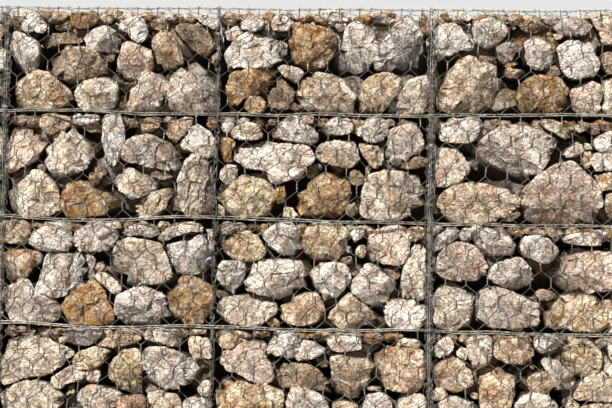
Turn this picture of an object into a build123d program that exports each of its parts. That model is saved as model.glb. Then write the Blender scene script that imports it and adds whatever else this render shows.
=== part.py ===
"""A gabion wall: courses of wire-mesh baskets filled with broken stone.

The wall is four bays long, four courses high and one metre deep. Each course is laid with three baskets,
a one-bay basket at each end and a two-bay basket between them, so that the thick joints between baskets
stand one above another and a thinner seam shows at mid-length, where a diaphragm divides the long basket.

A basket has a cage of thick selvedge wire along its edges, and flat sides of thinner wire twisted into
long hexagons. The front is modelled with its real meshes. The sides that face the bank, the ground, the
sky and the wall's two ends are plain sheets of the mesh's thickness.

The fill of a bay is one solid. Its front carries the bay's main stones, each with a flat face against the
mesh and sides that slope back into sunk joints. The small stones wedged between them are left out.

All sizes are in millimetres. X runs along the wall, Y from its front to its back and Z up. The origin is
the middle of the underside.
"""

import math
import os

from build123d import *

# Bays and courses
bay_length = 1000.0
course_height = 500.0
wall_depth = 1000.0
course_count = 4
bays_in_basket = {"left": 1, "middle": 2, "right": 1}

# Wires
selvedge_wire = 4.0
mesh_wire = 3.0

# Double-twist mesh: two wires twist together down each side of a hexagon, and part along its slopes
mesh_width = 95.0
twist_length = 43.0
slope_rise = 39.0

# Main stones: how deep the joints between them are, how the sides of a stone slope, and how much of its
# width or height, whichever is less, its cut corners take
joint_depth = 60.0
side_slope = 12.0
corner_cut = 0.28

# The main stones of each bay by course and bay, counted from the left: the middle of a stone along and up
# its bay, then its width and its height, in hundredths of the bay's length and of the course's height
main_stones = {
    (4, 2): [
        (88, 28, 22, 50), (33, 49, 31, 34), (17, 20, 26, 36), (42, 18, 19, 32), (66, 20, 19, 36),
        (60, 51, 16, 32), (8, 57, 13, 36), (76, 60, 13, 36), (89, 72, 20, 26),
    ],
    (4, 3): [
        (87, 67, 23, 46), (51, 20, 27, 37), (45, 65, 20, 40), (66, 67, 18, 46), (17, 63, 27, 32),
        (17, 25, 24, 38), (74, 19, 14, 35), (91, 20, 16, 36),
    ],
    (4, 4): [
        (21, 30, 34, 50), (52, 20, 22, 35), (69, 56, 19, 34), (88, 19, 15, 35), (11, 74, 17, 30),
        (83, 83, 18, 28), (72, 18, 13, 32), (28, 77, 15, 28), (50, 59, 14, 28),
    ],
    (3, 2): [
        (13, 23, 24, 42), (31, 63, 25, 42), (43, 19, 31, 35), (91, 31, 16, 58), (70, 65, 26, 30),
        (9, 66, 15, 40), (61, 42, 15, 12), (51, 76, 9, 42), (73, 20, 15, 36),
    ],
    (3, 3): [
        (84, 25, 29, 42), (26, 59, 36, 32), (50, 27, 28, 44), (15, 21, 25, 38), (88, 73, 19, 40),
        (57, 65, 19, 26), (33, 87, 16, 20), (72, 87, 13, 19), (55, 90, 16, 14),
    ],
    (3, 4): [
        (61, 27, 34, 48), (37, 72, 35, 42), (23, 20, 34, 36), (10, 56, 15, 34), (13, 87, 18, 21),
        (83, 79, 15, 19), (92, 17, 10, 28), (84, 61, 13, 13),
    ],
    (2, 2): [
        (65, 61, 27, 40), (13, 22, 25, 38), (40, 23, 22, 40), (88, 23, 21, 42), (66, 19, 23, 34),
        (30, 58, 21, 26), (90, 68, 18, 36), (9, 59, 15, 26), (44, 84, 20, 24),
    ],
    (2, 3): [
        (29, 48, 27, 32), (52, 81, 20, 32), (15, 16, 26, 27), (81, 80, 18, 34), (75, 43, 18, 32),
        (66, 13, 21, 22), (53, 46, 17, 28), (41, 16, 18, 22), (93, 54, 11, 48),
    ],
    (2, 4): [
        (69, 58, 34, 36), (37, 22, 26, 34), (67, 20, 28, 30), (11, 24, 18, 40), (15, 65, 22, 32),
        (39, 54, 21, 24), (30, 85, 20, 24), (50, 79, 15, 20), (72, 89, 20, 14),
    ],
    (1, 2): [
        (18, 71, 33, 42), (16, 29, 29, 32), (82, 62, 26, 36), (59, 60, 16, 38), (47, 31, 18, 24),
        (79, 26, 15, 26), (63, 24, 13, 24), (39, 89, 16, 16),
    ],
    (1, 3): [
        (18, 33, 30, 34), (87, 65, 22, 38), (65, 58, 19, 40), (16, 74, 25, 32), (45, 29, 19, 28),
        (43, 57, 22, 20), (92, 29, 12, 26), (35, 86, 15, 20), (77, 28, 12, 22),
    ],
    (1, 4): [
        (33, 46, 19, 44), (80, 53, 27, 26), (70, 83, 18, 26), (51, 32, 18, 25), (12, 61, 17, 34),
        (39, 85, 17, 22), (14, 28, 17, 22), (78, 25, 15, 20), (27, 10, 20, 14),
    ],
}

# The first bay takes its stones from another bay, end for end
first_bay_stones = {4: (2, 3), 3: (4, 4), 2: (3, 2), 1: (2, 4)}

# Planes that follow from the wires: a side's mesh lies on the middle line of the selvedge wires
mesh_face = (selvedge_wire - mesh_wire) / 2
mesh_back = (selvedge_wire + mesh_wire) / 2

bay_count = sum(bays_in_basket.values())
wall_length = bay_length * bay_count
front = -wall_depth / 2
joint_plane = front + mesh_back + joint_depth
courses = range(1, course_count + 1)


def block(low, high):
    """A rectangular block between two opposite corners."""
    size = [b - a for a, b in zip(low, high)]
    middle = [(a + b) / 2 for a, b in zip(low, high)]
    return Pos(*middle) * Box(*size)


def basket_spans():
    """The left end and the right end of each basket in a course, by the basket's name."""
    spans = {}
    start = -wall_length / 2
    for name, bays in bays_in_basket.items():
        spans[name] = (start, start + bays * bay_length)
        start += bays * bay_length
    return spans


def first_bay(name):
    """The number of a basket's first bay, counted from the left end of the wall."""
    order = list(bays_in_basket)
    return 1 + sum(bays_in_basket[before] for before in order[:order.index(name)])


def course_floor(course):
    """The height at which a course starts."""
    return (course - 1) * course_height


def basket_box(name, course):
    """The lowest and the highest corner of a basket."""
    left, right = basket_spans()[name]
    low = (left, front, course_floor(course))
    high = (right, front + wall_depth, course_floor(course) + course_height)
    return low, high


def basket_frame(name, course):
    """The selvedge wires along the twelve edges of a basket: a block with a window cut through each way."""
    low, high = basket_box(name, course)
    frame = block(low, high)
    for through in range(3):
        window_low = [a if axis == through else a + selvedge_wire for axis, a in enumerate(low)]
        window_high = [b if axis == through else b - selvedge_wire for axis, b in enumerate(high)]
        frame -= block(window_low, window_high)
    return frame


def mesh_opening():
    """One hexagonal opening, inside its twisted sides and its single-wire slopes."""
    half_width = mesh_width / 2
    slope_length = math.hypot(half_width, slope_rise)
    slope_drop = (mesh_wire / 2) * slope_length / half_width
    side = half_width - mesh_wire
    shoulder = twist_length / 2 + slope_rise * mesh_wire / half_width - slope_drop
    peak = twist_length / 2 + slope_rise - slope_drop
    right = [(side, shoulder), (side, -shoulder)]
    left = [(-side, -shoulder), (-side, shoulder)]
    return Polygon((0, peak), *right, (0, -peak), *left, align=None)


def mesh_web(width, height):
    """A flat panel of mesh, as wide and as high as the clear opening of its frame.

    The first row's twists start at the top edge, and every second row steps sideways by half a mesh.
    """
    row_pitch = twist_length + slope_rise
    rows = math.ceil(height / row_pitch) + 1
    columns = math.ceil(width / mesh_width / 2) + 1
    opening = mesh_opening()
    openings = []
    for row in range(rows):
        row_middle = height / 2 - twist_length / 2 - row * row_pitch
        row_step = 0.5 if row % 2 == 0 else 0.0
        for column in range(-columns, columns + 1):
            openings.append(Pos((column + row_step) * mesh_width, row_middle) * opening)
    return extrude(Rectangle(width, height) - openings, mesh_wire)


def front_mesh(name):
    """The front panel of a basket in the lowest course, between its four front selvedge wires."""
    low, high = basket_box(name, 1)
    width = high[0] - low[0] - 2 * selvedge_wire
    height = course_height - 2 * selvedge_wire
    middle = ((low[0] + high[0]) / 2, front + mesh_back, course_height / 2)
    plane = Plane(origin=middle, x_dir=(1, 0, 0), z_dir=(0, -1, 0))
    return plane.location * mesh_web(width, height)


def back_sheet(name, course):
    """The mesh at the back of a basket, as a plain sheet between its selvedge wires."""
    (left, _, bottom), (right, back, top) = basket_box(name, course)
    return block(
        (left + selvedge_wire, back - mesh_back, bottom + selvedge_wire),
        (right - selvedge_wire, back - mesh_face, top - selvedge_wire),
    )


def end_sheet(end_x, inward, course):
    """The mesh at an end of the wall, as a plain sheet. Inward is 1 at the left end and -1 at the right."""
    near, far = sorted((end_x + inward * mesh_face, end_x + inward * mesh_back))
    bottom = course_floor(course)
    return block(
        (near, front + selvedge_wire, bottom + selvedge_wire),
        (far, front + wall_depth - selvedge_wire, bottom + course_height - selvedge_wire),
    )


def level_sheet(name, bottom):
    """The lid or the base of a basket, as a plain sheet that starts at a given height."""
    (left, near, _), (right, back, _) = basket_box(name, 1)
    return block(
        (left + selvedge_wire, near + selvedge_wire, bottom),
        (right - selvedge_wire, back - selvedge_wire, bottom + mesh_wire),
    )


def diaphragm(x, course):
    """The partition across a long basket: a ring of selvedge wire just inside the mesh, closed by a sheet."""
    near = front + mesh_back
    far = front + wall_depth - mesh_back
    bottom = course_floor(course) + selvedge_wire
    top = course_floor(course) + course_height - selvedge_wire
    ring = block((x - selvedge_wire / 2, near, bottom), (x + selvedge_wire / 2, far, top))
    ring -= block(
        (x - selvedge_wire / 2, near + selvedge_wire, bottom + selvedge_wire),
        (x + selvedge_wire / 2, far - selvedge_wire, top - selvedge_wire),
    )
    sheet = block(
        (x - mesh_wire / 2, near + selvedge_wire, bottom + selvedge_wire),
        (x + mesh_wire / 2, far - selvedge_wire, top - selvedge_wire),
    )
    return ring + sheet


def diaphragm_places(name):
    """Where diaphragms stand in a basket: at each line between two of its bays."""
    left, _ = basket_spans()[name]
    return [left + bay * bay_length for bay in range(1, bays_in_basket[name])]


def fill_levels(course):
    """The underside and the top of a course's stone: on the base sheet, under the lid, or on other stone."""
    bottom = course_floor(course) + (mesh_wire if course == 1 else 0.0)
    top = course_floor(course) + course_height - (mesh_back if course == course_count else 0.0)
    return bottom, top


def bay_stones(course, bay):
    """The middle, width and height of each main stone of a bay, from the bay's lower left corner."""
    if bay == 1:
        stones = [(100 - along, up, width, height) for along, up, width, height in
                  main_stones[first_bay_stones[course]]]
    else:
        stones = main_stones[course, bay]
    across, upward = bay_length / 100, course_height / 100
    return [(along * across, up * upward, width * across, height * upward)
            for along, up, width, height in stones]


def main_stone(along, up, width, height):
    """One stone: a block with cut corners that stands out from the plane of the joints to the mesh."""
    outline = Rectangle(width, height)
    outline = chamfer(outline.vertices(), corner_cut * min(width, height))
    plane = Plane(origin=(along, joint_plane, up), x_dir=(1, 0, 0), z_dir=(0, -1, 0))
    return extrude(plane.location * outline, amount=joint_depth, taper=side_slope)


def stone_fill(name, course):
    """The stone in a basket, one solid to a bay, seated against the mesh and round the selvedge wires."""
    left, right = basket_spans()[name]
    bottom, top = fill_levels(course)
    if left == -wall_length / 2:
        left += mesh_back
    if right == wall_length / 2:
        right -= mesh_back
    dividers = diaphragm_places(name)
    starts = [left] + [x + mesh_wire / 2 for x in dividers]
    ends = [x - mesh_wire / 2 for x in dividers] + [right]
    frame = basket_frame(name, course)
    blocks = []
    for bay, start, end in zip(range(first_bay(name), bay_count + 1), starts, ends):
        heart = block((start, joint_plane, bottom), (end, front + wall_depth - mesh_back, top))
        heart -= frame
        for x in dividers:
            heart -= diaphragm(x, course)
        bay_left = (bay - 1) * bay_length - wall_length / 2
        stones = [main_stone(bay_left + along, course_floor(course) + up, width, height)
                  for along, up, width, height in bay_stones(course, bay)]
        blocks.append(heart + stones)
    return blocks


def save(node, solids):
    """Writes one node, as a single solid or as several that stand apart."""
    shape = solids[0] if len(solids) == 1 else Compound(children=list(solids))
    export_step(shape, f"parts/{node}.step")


os.makedirs("parts", exist_ok=True)
baskets = list(bays_in_basket)
front_panels = {name: front_mesh(name) for name in baskets}

for course in courses:
    for name in baskets:
        place = f"course_{course}_{name}"
        save(f"basket_frame_{place}", [basket_frame(name, course)])
        save(f"front_mesh_{place}", [Pos(0, 0, course_floor(course)) * front_panels[name]])
        save(f"stone_fill_{place}", stone_fill(name, course))
    save(f"back_mesh_course_{course}", [back_sheet(name, course) for name in baskets])

save("left_end_mesh", [end_sheet(-wall_length / 2, 1, course) for course in courses])
save("right_end_mesh", [end_sheet(wall_length / 2, -1, course) for course in courses])
save("base_mesh", [level_sheet(name, 0.0) for name in baskets])
save("lid_mesh", [level_sheet(name, course_count * course_height - mesh_back) for name in baskets])
dividers = [x for basket in baskets for x in diaphragm_places(basket)]
save("diaphragms", [diaphragm(x, course) for course in courses for x in dividers])
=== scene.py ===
import math
import random

import bmesh
import bpy
import numpy as np
from mathutils import Matrix, Vector


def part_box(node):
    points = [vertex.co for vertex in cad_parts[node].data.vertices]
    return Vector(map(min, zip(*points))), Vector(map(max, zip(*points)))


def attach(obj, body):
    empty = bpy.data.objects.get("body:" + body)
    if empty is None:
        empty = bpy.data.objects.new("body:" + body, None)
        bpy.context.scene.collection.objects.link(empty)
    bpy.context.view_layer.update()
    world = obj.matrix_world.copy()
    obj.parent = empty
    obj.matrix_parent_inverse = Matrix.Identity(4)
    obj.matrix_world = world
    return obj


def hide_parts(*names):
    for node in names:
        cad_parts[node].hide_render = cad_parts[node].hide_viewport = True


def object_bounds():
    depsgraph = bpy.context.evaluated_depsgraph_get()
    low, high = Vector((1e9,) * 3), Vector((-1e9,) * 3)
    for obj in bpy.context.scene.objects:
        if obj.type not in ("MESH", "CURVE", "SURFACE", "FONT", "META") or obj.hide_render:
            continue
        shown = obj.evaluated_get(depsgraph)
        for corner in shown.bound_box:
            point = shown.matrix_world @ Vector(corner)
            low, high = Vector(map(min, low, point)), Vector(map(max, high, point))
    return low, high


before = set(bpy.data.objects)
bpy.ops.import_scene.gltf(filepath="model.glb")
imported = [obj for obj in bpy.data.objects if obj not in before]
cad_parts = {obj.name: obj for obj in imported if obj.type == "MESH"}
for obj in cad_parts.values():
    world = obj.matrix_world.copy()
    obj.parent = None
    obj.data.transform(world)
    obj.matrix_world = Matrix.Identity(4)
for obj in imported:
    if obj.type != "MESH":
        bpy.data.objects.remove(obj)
cad_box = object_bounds()

# The wall's faces
# The wall is dry stacked from wire baskets, one bay or two bays long, in courses of equal height.
# Every face is set out in bays as long as the short basket and as high as one course.
wall_low, wall_high = cad_box
short_low, short_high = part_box("basket_frame_course_1_left")
bay_length = short_high.x - short_low.x
course_height = short_high.z - short_low.z
bay_count = round((wall_high.x - wall_low.x) / bay_length)
course_count = round((wall_high.z - wall_low.z) / course_height)
rows_across_depth = round((wall_high.y - wall_low.y) / course_height)
basket_of_bay = ["left", "middle", "middle", "right"]


def face_frame(corner, along, inward, up):
    """A face of the wall, from its lower left corner as seen from outside, with its three directions."""
    columns = [Vector(along), Vector(inward), Vector(up), Vector(corner)]
    return Matrix([[c[axis] for c in columns] for axis in range(3)] + [[0, 0, 0, 1]])


left, front, ground = wall_low
right, back, top = wall_high
faces = {
    "front": face_frame((left, front, ground), (1, 0, 0), (0, 1, 0), (0, 0, 1)),
    "back": face_frame((right, back, ground), (-1, 0, 0), (0, -1, 0), (0, 0, 1)),
    "left_end": face_frame((left, back, ground), (0, -1, 0), (1, 0, 0), (0, 0, 1)),
    "right_end": face_frame((right, front, ground), (0, 1, 0), (-1, 0, 0), (0, 0, 1)),
    "lid": face_frame((left, front, top), (1, 0, 0), (0, 0, -1), (0, 1, 0)),
    "base": face_frame((left, back, ground), (1, 0, 0), (0, 0, 1), (0, -1, 0)),
}


# The face of the wall, stone by stone
# The broken stone is placed by hand, with its flat sides against the mesh and small pieces wedged behind.
# Each line is one stone of a bay: its colour, how far it sits back, and its outline along and up, all in cm.
face_sketch = {
    (4, "a"): """
        chalk 0.5 5.5,48 10,49 14,46.5 18,41 16,38.5 11,38.5 8,37.5 6,39 5,43
        tan 4 0,45 4,45 5.5,42 5,39 1,39 0,41
        chalk 0 1,38.5 6,38.5 12,35 15,31.5 14.5,27 12.5,22 8,18 5,18 1,23 0.5,28 0.5,36
        brown 2 12,37 18,38.5 34,38.5 35,33 24,33 16.5,31.5 13,33.5
        rust 0.5 29,49 35,48.5 41,47.5 42.5,45 39,41.5 34.5,40 30.5,40.5 29,45
        brown 5 21,46 28,45 30,41 24,39.5 20,41
        pale 0 34,38 40,40 45,41.5 50,40.5 53,35.5 53,31 50,28 44,29.5 38.5,30 36,33.5
        brown 4 40,30 50.5,28.5 49,24.5 44,26
        tan 0 15.5,28 19,31.5 24.5,33 40,30 45,26 49.5,22 45,18.5 39,16.5 32,14 27,15.5 21,17.5 17.5,24
        peach 0 3,9 5,14 10,18 15,20 19.5,18.5 29,11 30.5,7 29,3 21,2.5 14,0.5 4,1
        cream 0 32,8 33.5,12.5 36.5,15 46,18 50.5,16 52.5,12.5 51.5,8 52,4 50,0.5 38.5,0.5 34.5,2.5
        chalk 0 52,42 56.5,44.5 62,47 64,45.5 65.5,41 66.5,37 63,33.5 59.5,35 56.5,38 52.5,40.5
        tan 3 41,50 53,50 53,46 47,44.5 43,46
        rose 0 54.5,33.5 58,34 68,30 69,24.5 69,21 64,18 59.5,15 55,14 51.5,17.5 51,22.5 53,27.5
        tan 0 68.5,31.5 69,36.5 72,39 75,39.5 79,36.5 82,32 84,25.5 81,22.5 75.5,20.5 72,20 70,23
        brown 1 78,41.5 83.5,43 90,42.5 95,39.5 99,32 96,29 92.5,28 87,30.5 83.5,33.5 80,37
        grey 0.5 86,47.5 90,49 94,48.5 98,46 100,43 99,40 95,41.5 91,43.5
        cream 3 73,48.5 78,49.5 80.5,47 79,44.5 74,45.5
        grey 0 76.5,8 77.5,16.5 81,22 86,24.5 88.5,27.5 91,27 98,20 100,15.5 99,2.5 95,0.5 86,0.5 78,2.5
        grey 0 56.5,11.5 61.5,13 63.5,17 68,19.5 73,19 76,16.5 76.5,12 73,5 71,0.5 59,0.5 57,5
        brown 5 52.5,9 56,9 57,4 56.5,0.5 53,1
        tan 3 96,28 100,30 100,23 96,25
        ochre 4 55,14.5 61,16 63,14 60,12.5 57,12.5
        tan 4 66,45 72,47 76,43 72,40 67,41
        brown 4 10,49.5 18,50 23,47 19,43 15,46
        """,
    # In this bay the slate filler beside the large chalk stone lies where that stone's side is in shade:
    # painted shade.
    (4, "b"): """
        pale 1 3,39 6,41 9,42 11,40 10.5,38.5 7,35.5 4,35 3,37
        chalk 0.5 10.5,44 14,45 19,47.5 21,46.5 21.5,42 20,40 15,39.5 11,40.5
        grey 3 21,46.5 24,44 24,39.5 21,39.5
        chalk 0 3,28.5 5,32 11.5,38 15.5,40 26,38.5 29,35.5 31,31 30.5,27.5 27,23 15,22 5,22.5 4,25.5
        slate 3 28,36 32,34.5 33,31 31,27.5 28.5,28
        pale 0 24.5,44 27,46.5 31.5,48.5 34,46 34,43 33,39.5 28,39 25.5,40.5
        tan 2 33.5,46 39,44 39,41 35,40.5 33.5,42
        ochre 0 33.5,39.5 42,43 47,43.5 52,42 55,39.5 56,36 56,30.5 54,26 50.5,22 46,21.5 36,24 33.5,33
        chalk 0.5 46,47 48,49.5 55,49.5 61,49.5 62.5,47 61,44 54,44.5 50,44.5
        pale 2 55,44 60,44.5 60,41 57,39.5 55.5,41
        chalk 0 58.5,37 61.5,43 65,46 69,45.5 74.5,44 77,40.5 77,36.5 74.5,29 73,24.5 66.5,20.5 57.5,22 55,25
        blue 0 74.5,29 77,33.5 80,37.5 82.5,42.5 88.5,46.5 92.5,45 96.5,37 99.5,25.5 99,21.5 90,20.5 74,22
        tan 2 94,47 96.5,49 99,46 99.5,41 98,37 96,39.5 95,43
        brown 4 75,49.5 84,49.5 84,47 80,44.5 77,45.5
        cream 2 71,48.5 76,49 76,46.5 72,46
        ochre 0 4.5,14 6,19 12,20.5 21,23 26.5,22.5 29.5,20 28,13 22,9.5 13,8 8,2.5 5,4
        ochre 1 12.5,5 15,8 20,8.5 23,6 22,1.5 17,0.5 13.5,2.5
        brown 2 28,19.5 33,16 36.5,13 36,8 33.5,3 25,2 23,6 25,11 27.5,14
        pale 0.5 27,22.5 31,23.5 36,22.5 41,21 38.5,17 36.5,15 32,18
        buff 0 36.5,7.5 38,12 41,18 43.5,20 57,18 60,19 64,11 65,6 64,1 60,0.5 45,0.5 41,4.5
        brown 4 33.5,8 38,5.5 41,4 38,2 34,3
        peach 0 67.5,14 70.5,17.5 75.5,19.5 82,19.5 86,17 86.5,13.5 81.5,6.5 77,2.5 73,0.5 68,0.5 66.5,5.5
        cream 0 82,8 87,12.5 90,17.5 95,18.5 99.5,19 99.5,9 98.5,4.5 95,1 80,0.5 80,4
        """,
    (4, "c"): """
        chalk 0 1.5,40 4,43 9,44.5 12,43 15.5,38.5 19.5,36 21,33 19,31.5 13,31 7,28 4.5,25.5 2,26.5
        chalk 0 20,44 25.5,46 29.5,46 34,44.5 36,41 35.5,38 29.5,33 23,31 22,34.5 20,37 19.5,41
        slate 1.5 30,33.5 34,35.5 39.5,35 40,31 38,27 34,24.5 31,28
        rust 3 33,25 38,26 41,26.5 40,24 36,23.5
        tan 3 34,22 38,23.5 43,23 45,21.5 41,18.5 36,19
        chalk 0 43,34.5 46,37 50.5,37 54.5,35 57,32 58,29 57.5,26 53,22.5 49,22 45.5,25 44,29
        chalk 0 58.5,32 61.5,34.5 66,36.5 69,37.5 73.5,37 77.5,34 78.5,30 77,20 68,18.5 63.5,19 61,22.5
        grey 0.5 57,42.5 60,45 65,46.5 71,46.5 75,44 75.5,41 70,38.5 63,38 58,40.5
        tan 2 57,40 62,39 61,36.5 57.5,36
        cream 0 73.5,48.5 83,49.5 90,48 92,41 88,34 80,34.5 78,40 75.5,44
        tan 1.5 80,31 86,32 88,26 85,20.5 81,22 79.5,27
        buff 0 3.5,9 5.5,16.5 10.5,26.5 15.5,28.5 21,28 27,27 31,23.5 33.5,18.5 39,9 38.5,3.5 24,2 5,3
        ochre 0 40.5,9 41,14 45,18 49.5,19.5 61,18 63.5,14 64,8 63,3.5 55,2 50,1 42,2 40,5
        brown 4 53,24 58,25 61,22 59,18.5 54,19
        rose 0 65,11.5 68,15.5 71,17 75.5,17 79,14 80,9 79,4 75.5,0.5 69,0.5 66.5,5.5
        cream 0.5 79,16.5 84,19 92,18 95,10 92,2 84,0.5 79.5,4 80.5,9
        buff 0 92,31 97,33 99,27 97,20 91,20 88,25
        pale 0 93,47 99,47 99,38 94,35 92,41
        cream 3 11,48.5 15,49.5 19,47.5 18,45 13,45.5
        rust 4 4,49 8,50 9,46 5,45
        tan 4 40,46 46,48 52,47 55,43 50,40.5 44,40
        grey 4 22,49.5 36,49.5 36,46.5 24,47.5
        """,
    (3, "a"): """
        pink 0 0.5,41 3,43.5 7.5,42 16.5,40.5 19,38 18,34.5 15.5,30 14,27 9.5,24.5 4,22 0.5,21
        tan 0.5 15,47 16.5,49 22,49.5 27,49 30,47 29.5,43.5 25.5,41.5 21,39.5 17,41
        chalk 1 31.5,49 38,49.5 44,49 44,46 39,44.5 31.5,44.5
        brown 4 34,44 44.5,45 45,41.5 40,40.5
        brown 5 7,49 14.5,49 15,43 9,43.5
        cream 0 17,31 18.5,35 22,39 31.5,43 36,41.5 41,39 44.5,36 45.5,31.5 41,25.5 31,20 22,19.5 17.5,27
        blue 0 46,48.5 55,49 56,43.5 56.5,37 55,31 52.5,26 49.5,25 47,28.5 45.5,36 45.5,43.5
        tan 2 63,47.5 66,48.5 72,48 73,44 69,41.5 64,41.5
        brown 4 56.5,48 62,48 62,43.5 57.5,43.5
        grey 0 55.5,32 57.5,37 66.5,40.5 72.5,40 76.5,38 84.5,32 85,29 82.5,25 79,22.5 64,25.5 57.5,27 55,29
        tan 1 75,43 77.5,46 84,48.5 89,48 87,43 83,38.5 80.5,36 77.5,38 75,41
        pale 0 82.5,35 85,38.5 90.5,45.5 97,41 99.5,38 99.5,32.5 98,30 95,29.5 90,31.5 84,33
        tan 3 95,49 99.5,49 99.5,44 97,42.5 95,45
        layered 0 82.5,14 82.5,19 86,29.5 90,31 97,27.5 98.5,23 99.5,18 99,10 96,2 92.5,0.5 87,2 83.5,6
        cream 0 50,22 53,25 57.5,25.5 61.5,24 66.5,21 71,20 75,18 70.5,14 64,10 59.5,9.5 52.5,15
        ochre 0 26.5,10 26.5,13.5 31,17 41,19 49,18 52.5,14.5 60,8.5 59.5,5 50,2.5 41,1 30,0.5 27.5,5
        rust 2 39.5,21 44,22.5 47,21 45,16.5 42,15.5 40,18
        cream 0 0.5,17 3,20 8,22 16.5,22.5 22,18 25.5,14 26,9 26,4 21,1.5 8,0.5 2.5,1.5 0.5,5
        buff 1 62.5,6 64,9 68.5,11.5 72.5,14 81.5,19 82,16.5 80,11.5 77.5,8 76,4.5 72,0.5 64,0.5
        brown 3 69,22.5 75,23 80,21 78,19 74,18.5 69,20
        brown 4 41,24.5 45,25 48.5,22 46,19.5 42,21
        slate 4 13.5,25.5 18,26 19.5,23 15,22
        """,
    (3, "b"): """
        pale 1 2,46.5 5,48 8,47.5 8,44 5,41 2,42
        cream 0.5 6.5,40 8,43 10.5,45 15,46 18,45.5 20.5,43 22,40.5 20.5,38.5 16.5,38 8.5,38.5
        tan 3 22,46 24.5,46 24,42 22.5,43
        chalk 0 24.5,41.5 27.5,44.5 34,49.5 38.5,49 41.5,45 42,40 41,37 36,37.5 29.5,38.5 25,39.5
        grey 1.5 41,46 45,44.5 47.5,41 48,38 45,36 42,36.5
        tan 3 39,49.5 45,50 45.5,46 41,45.5
        pale 0 46.5,43 49.5,45.5 54,48 59.5,49 64,47.5 64.5,45 61.5,41.5 57.5,40.5 51.5,40.5 47.5,41.5
        chalk 0 65,44 67.5,46 72,48.5 79.5,48.5 80.5,45 79.5,41 77.5,38.5 73.5,37.5 70,38 66,40
        grey 0 80,38.5 81,42.5 85,45.5 89.5,47 93.5,45.5 98,37 96,34 86.5,28 82.5,26.5 79.5,25.5 77,27 79,31.5
        buff 1.5 66.5,37 70,37 79,34.5 79,30.5 77,26 73.5,25.5 70.5,29.5 67.5,33
        cream 0 46.5,32 48.5,35.5 53,38 62,39.5 65,37 66.5,33.5 67,29.5 65.5,25.5 59.5,25.5 50.5,27.5
        pale 0 7,34 15.5,37 22,38 36,36.5 42,35.5 46,30 43.5,27 39,20.5 31,19 23,23.5 13,25 8,30
        pale 0 23.5,22 25,24.5 29,25 32,22.5 32,19 29.5,17 25.5,18
        ochre 2 1.5,38.5 7,39 9,37 7,33 7,27.5 3.5,27 2,32
        grey 0.5 2,24 5.5,26 10,25.5 10,21.5 8,18 5,16.5 2,19.5
        sand 0 2,10 5,14 12.5,21.5 18,23 22.5,21.5 28,16 28,10 27.5,5 24,1.5 15,0.5 9.5,2.5 5,6
        ochre 1.5 28,16 32,16.5 33.5,12 32.5,8.5 28.5,7.5
        ochre 0 34.5,11.5 36,13.5 45,19 52,25 57.5,25.5 60.5,24 61.5,19 65.5,12 64,9 56.5,2 41,2.5 38,6.5
        brown 4 41.5,25.5 49,28 51,25 46,20 42,21
        brown 0.5 62,21 63.5,24 67,24.5 69.5,22 69,18 66,16.5 63,18
        ochre 3 70,26 72.5,27 73,23 70.5,21.5
        layered 0 69,15 70,19 73,22.5 79,24 88,23.5 94.5,23 98.5,20 99,10 96,6 86,2 73.5,1.5 68,4
        brown 3 61,8.5 65.5,9 67,5 63,2 61,4
        buff 3 32,7 36.5,7 39,3 36,1 32,1.5
        brown 2.5 85,27.5 93,31 99,30.5 99,27 92,25 86,25.5
        tan 2 1,8 4,6.5 5,2.5 1,2
        """,
    (3, "c"): """
        chalk 0 3.5,43.5 5,47 9,49 21,49.5 24,48 22.5,43.5 20,38.5 18,37 11.5,37.5 5.5,38.5
        brown 3 23,48 27,47 26,42 22.5,38.5 21,39
        cream 0 3.5,34 5.5,36.5 9.5,37 14,35.5 15.5,31.5 19,24.5 16,22 12,19 7,17 3.5,17 2,21 2.5,27.5
        grey 0 18,31 25.5,40.5 34,46 42,47.5 54.5,43.5 59.5,40.5 59.5,37 56,33 47.5,21 44,19 32,22 20,25.5
        cream 0.5 50.5,46 52,49 56,49 60,47 65.5,41.5 64,39.5 61,40.5 54,44.5
        ochre 3 61,48.5 66,49 67,45 64,44
        cream 3 66,46.5 71,47.5 73,44 69,42.5
        tan 3 73,48 79,48 79,43 75,42
        ochre 3 79,48.5 84,48.5 84,45 80,45
        brown 4 28,49 36,49 35,46 29,45.5
        chalk 0 75.5,40 79.5,42.5 85,44 90,43 91.5,34.5 86,33 79,34 75.5,36.5
        chalk 0 75,34 80,34 86,32.5 90,30.5 89,26 80,25.5 76.5,25 74.5,29
        sand 0.5 76,24.5 83,24.5 88.5,23 87,17.5 80,16 77.5,19
        pale 1 61,33 63.5,36 67.5,39 71,38 71,35 68,32 63.5,31
        tan 2 70,31 71.5,34 74.5,34.5 75,31 74,27 71,26
        grey 3 71,39 75,38 75,35 72,35.5
        rose 0 41.5,13.5 48.5,21 57.5,27.5 65,29.5 75,21 79.5,12 79.5,5 77.5,2 70.5,0.5 47.5,0.5 43.5,6.5
        buff 0 4,8 5,12 8.5,16 13,18.5 25,20 36,16.5 40,14 42.5,10.5 41.5,8 31,2 25.5,0.5 9.5,0.5
        brown 3 33,5 38,7 42,7.5 42,4 38,1.5 34,1.5
        tan 2 81,15 84.5,16 86,12 85,4 82.5,3 81,8
        buff 0 87,14 92,16 98,13 98,5 92,1 87.5,3
        pale 0 91,30 96,31 99,26 98,19 92,17.5 89.5,22
        grey 0 93,47 97,48 99,43 98,36 93,34 92.5,41
        """,
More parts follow.
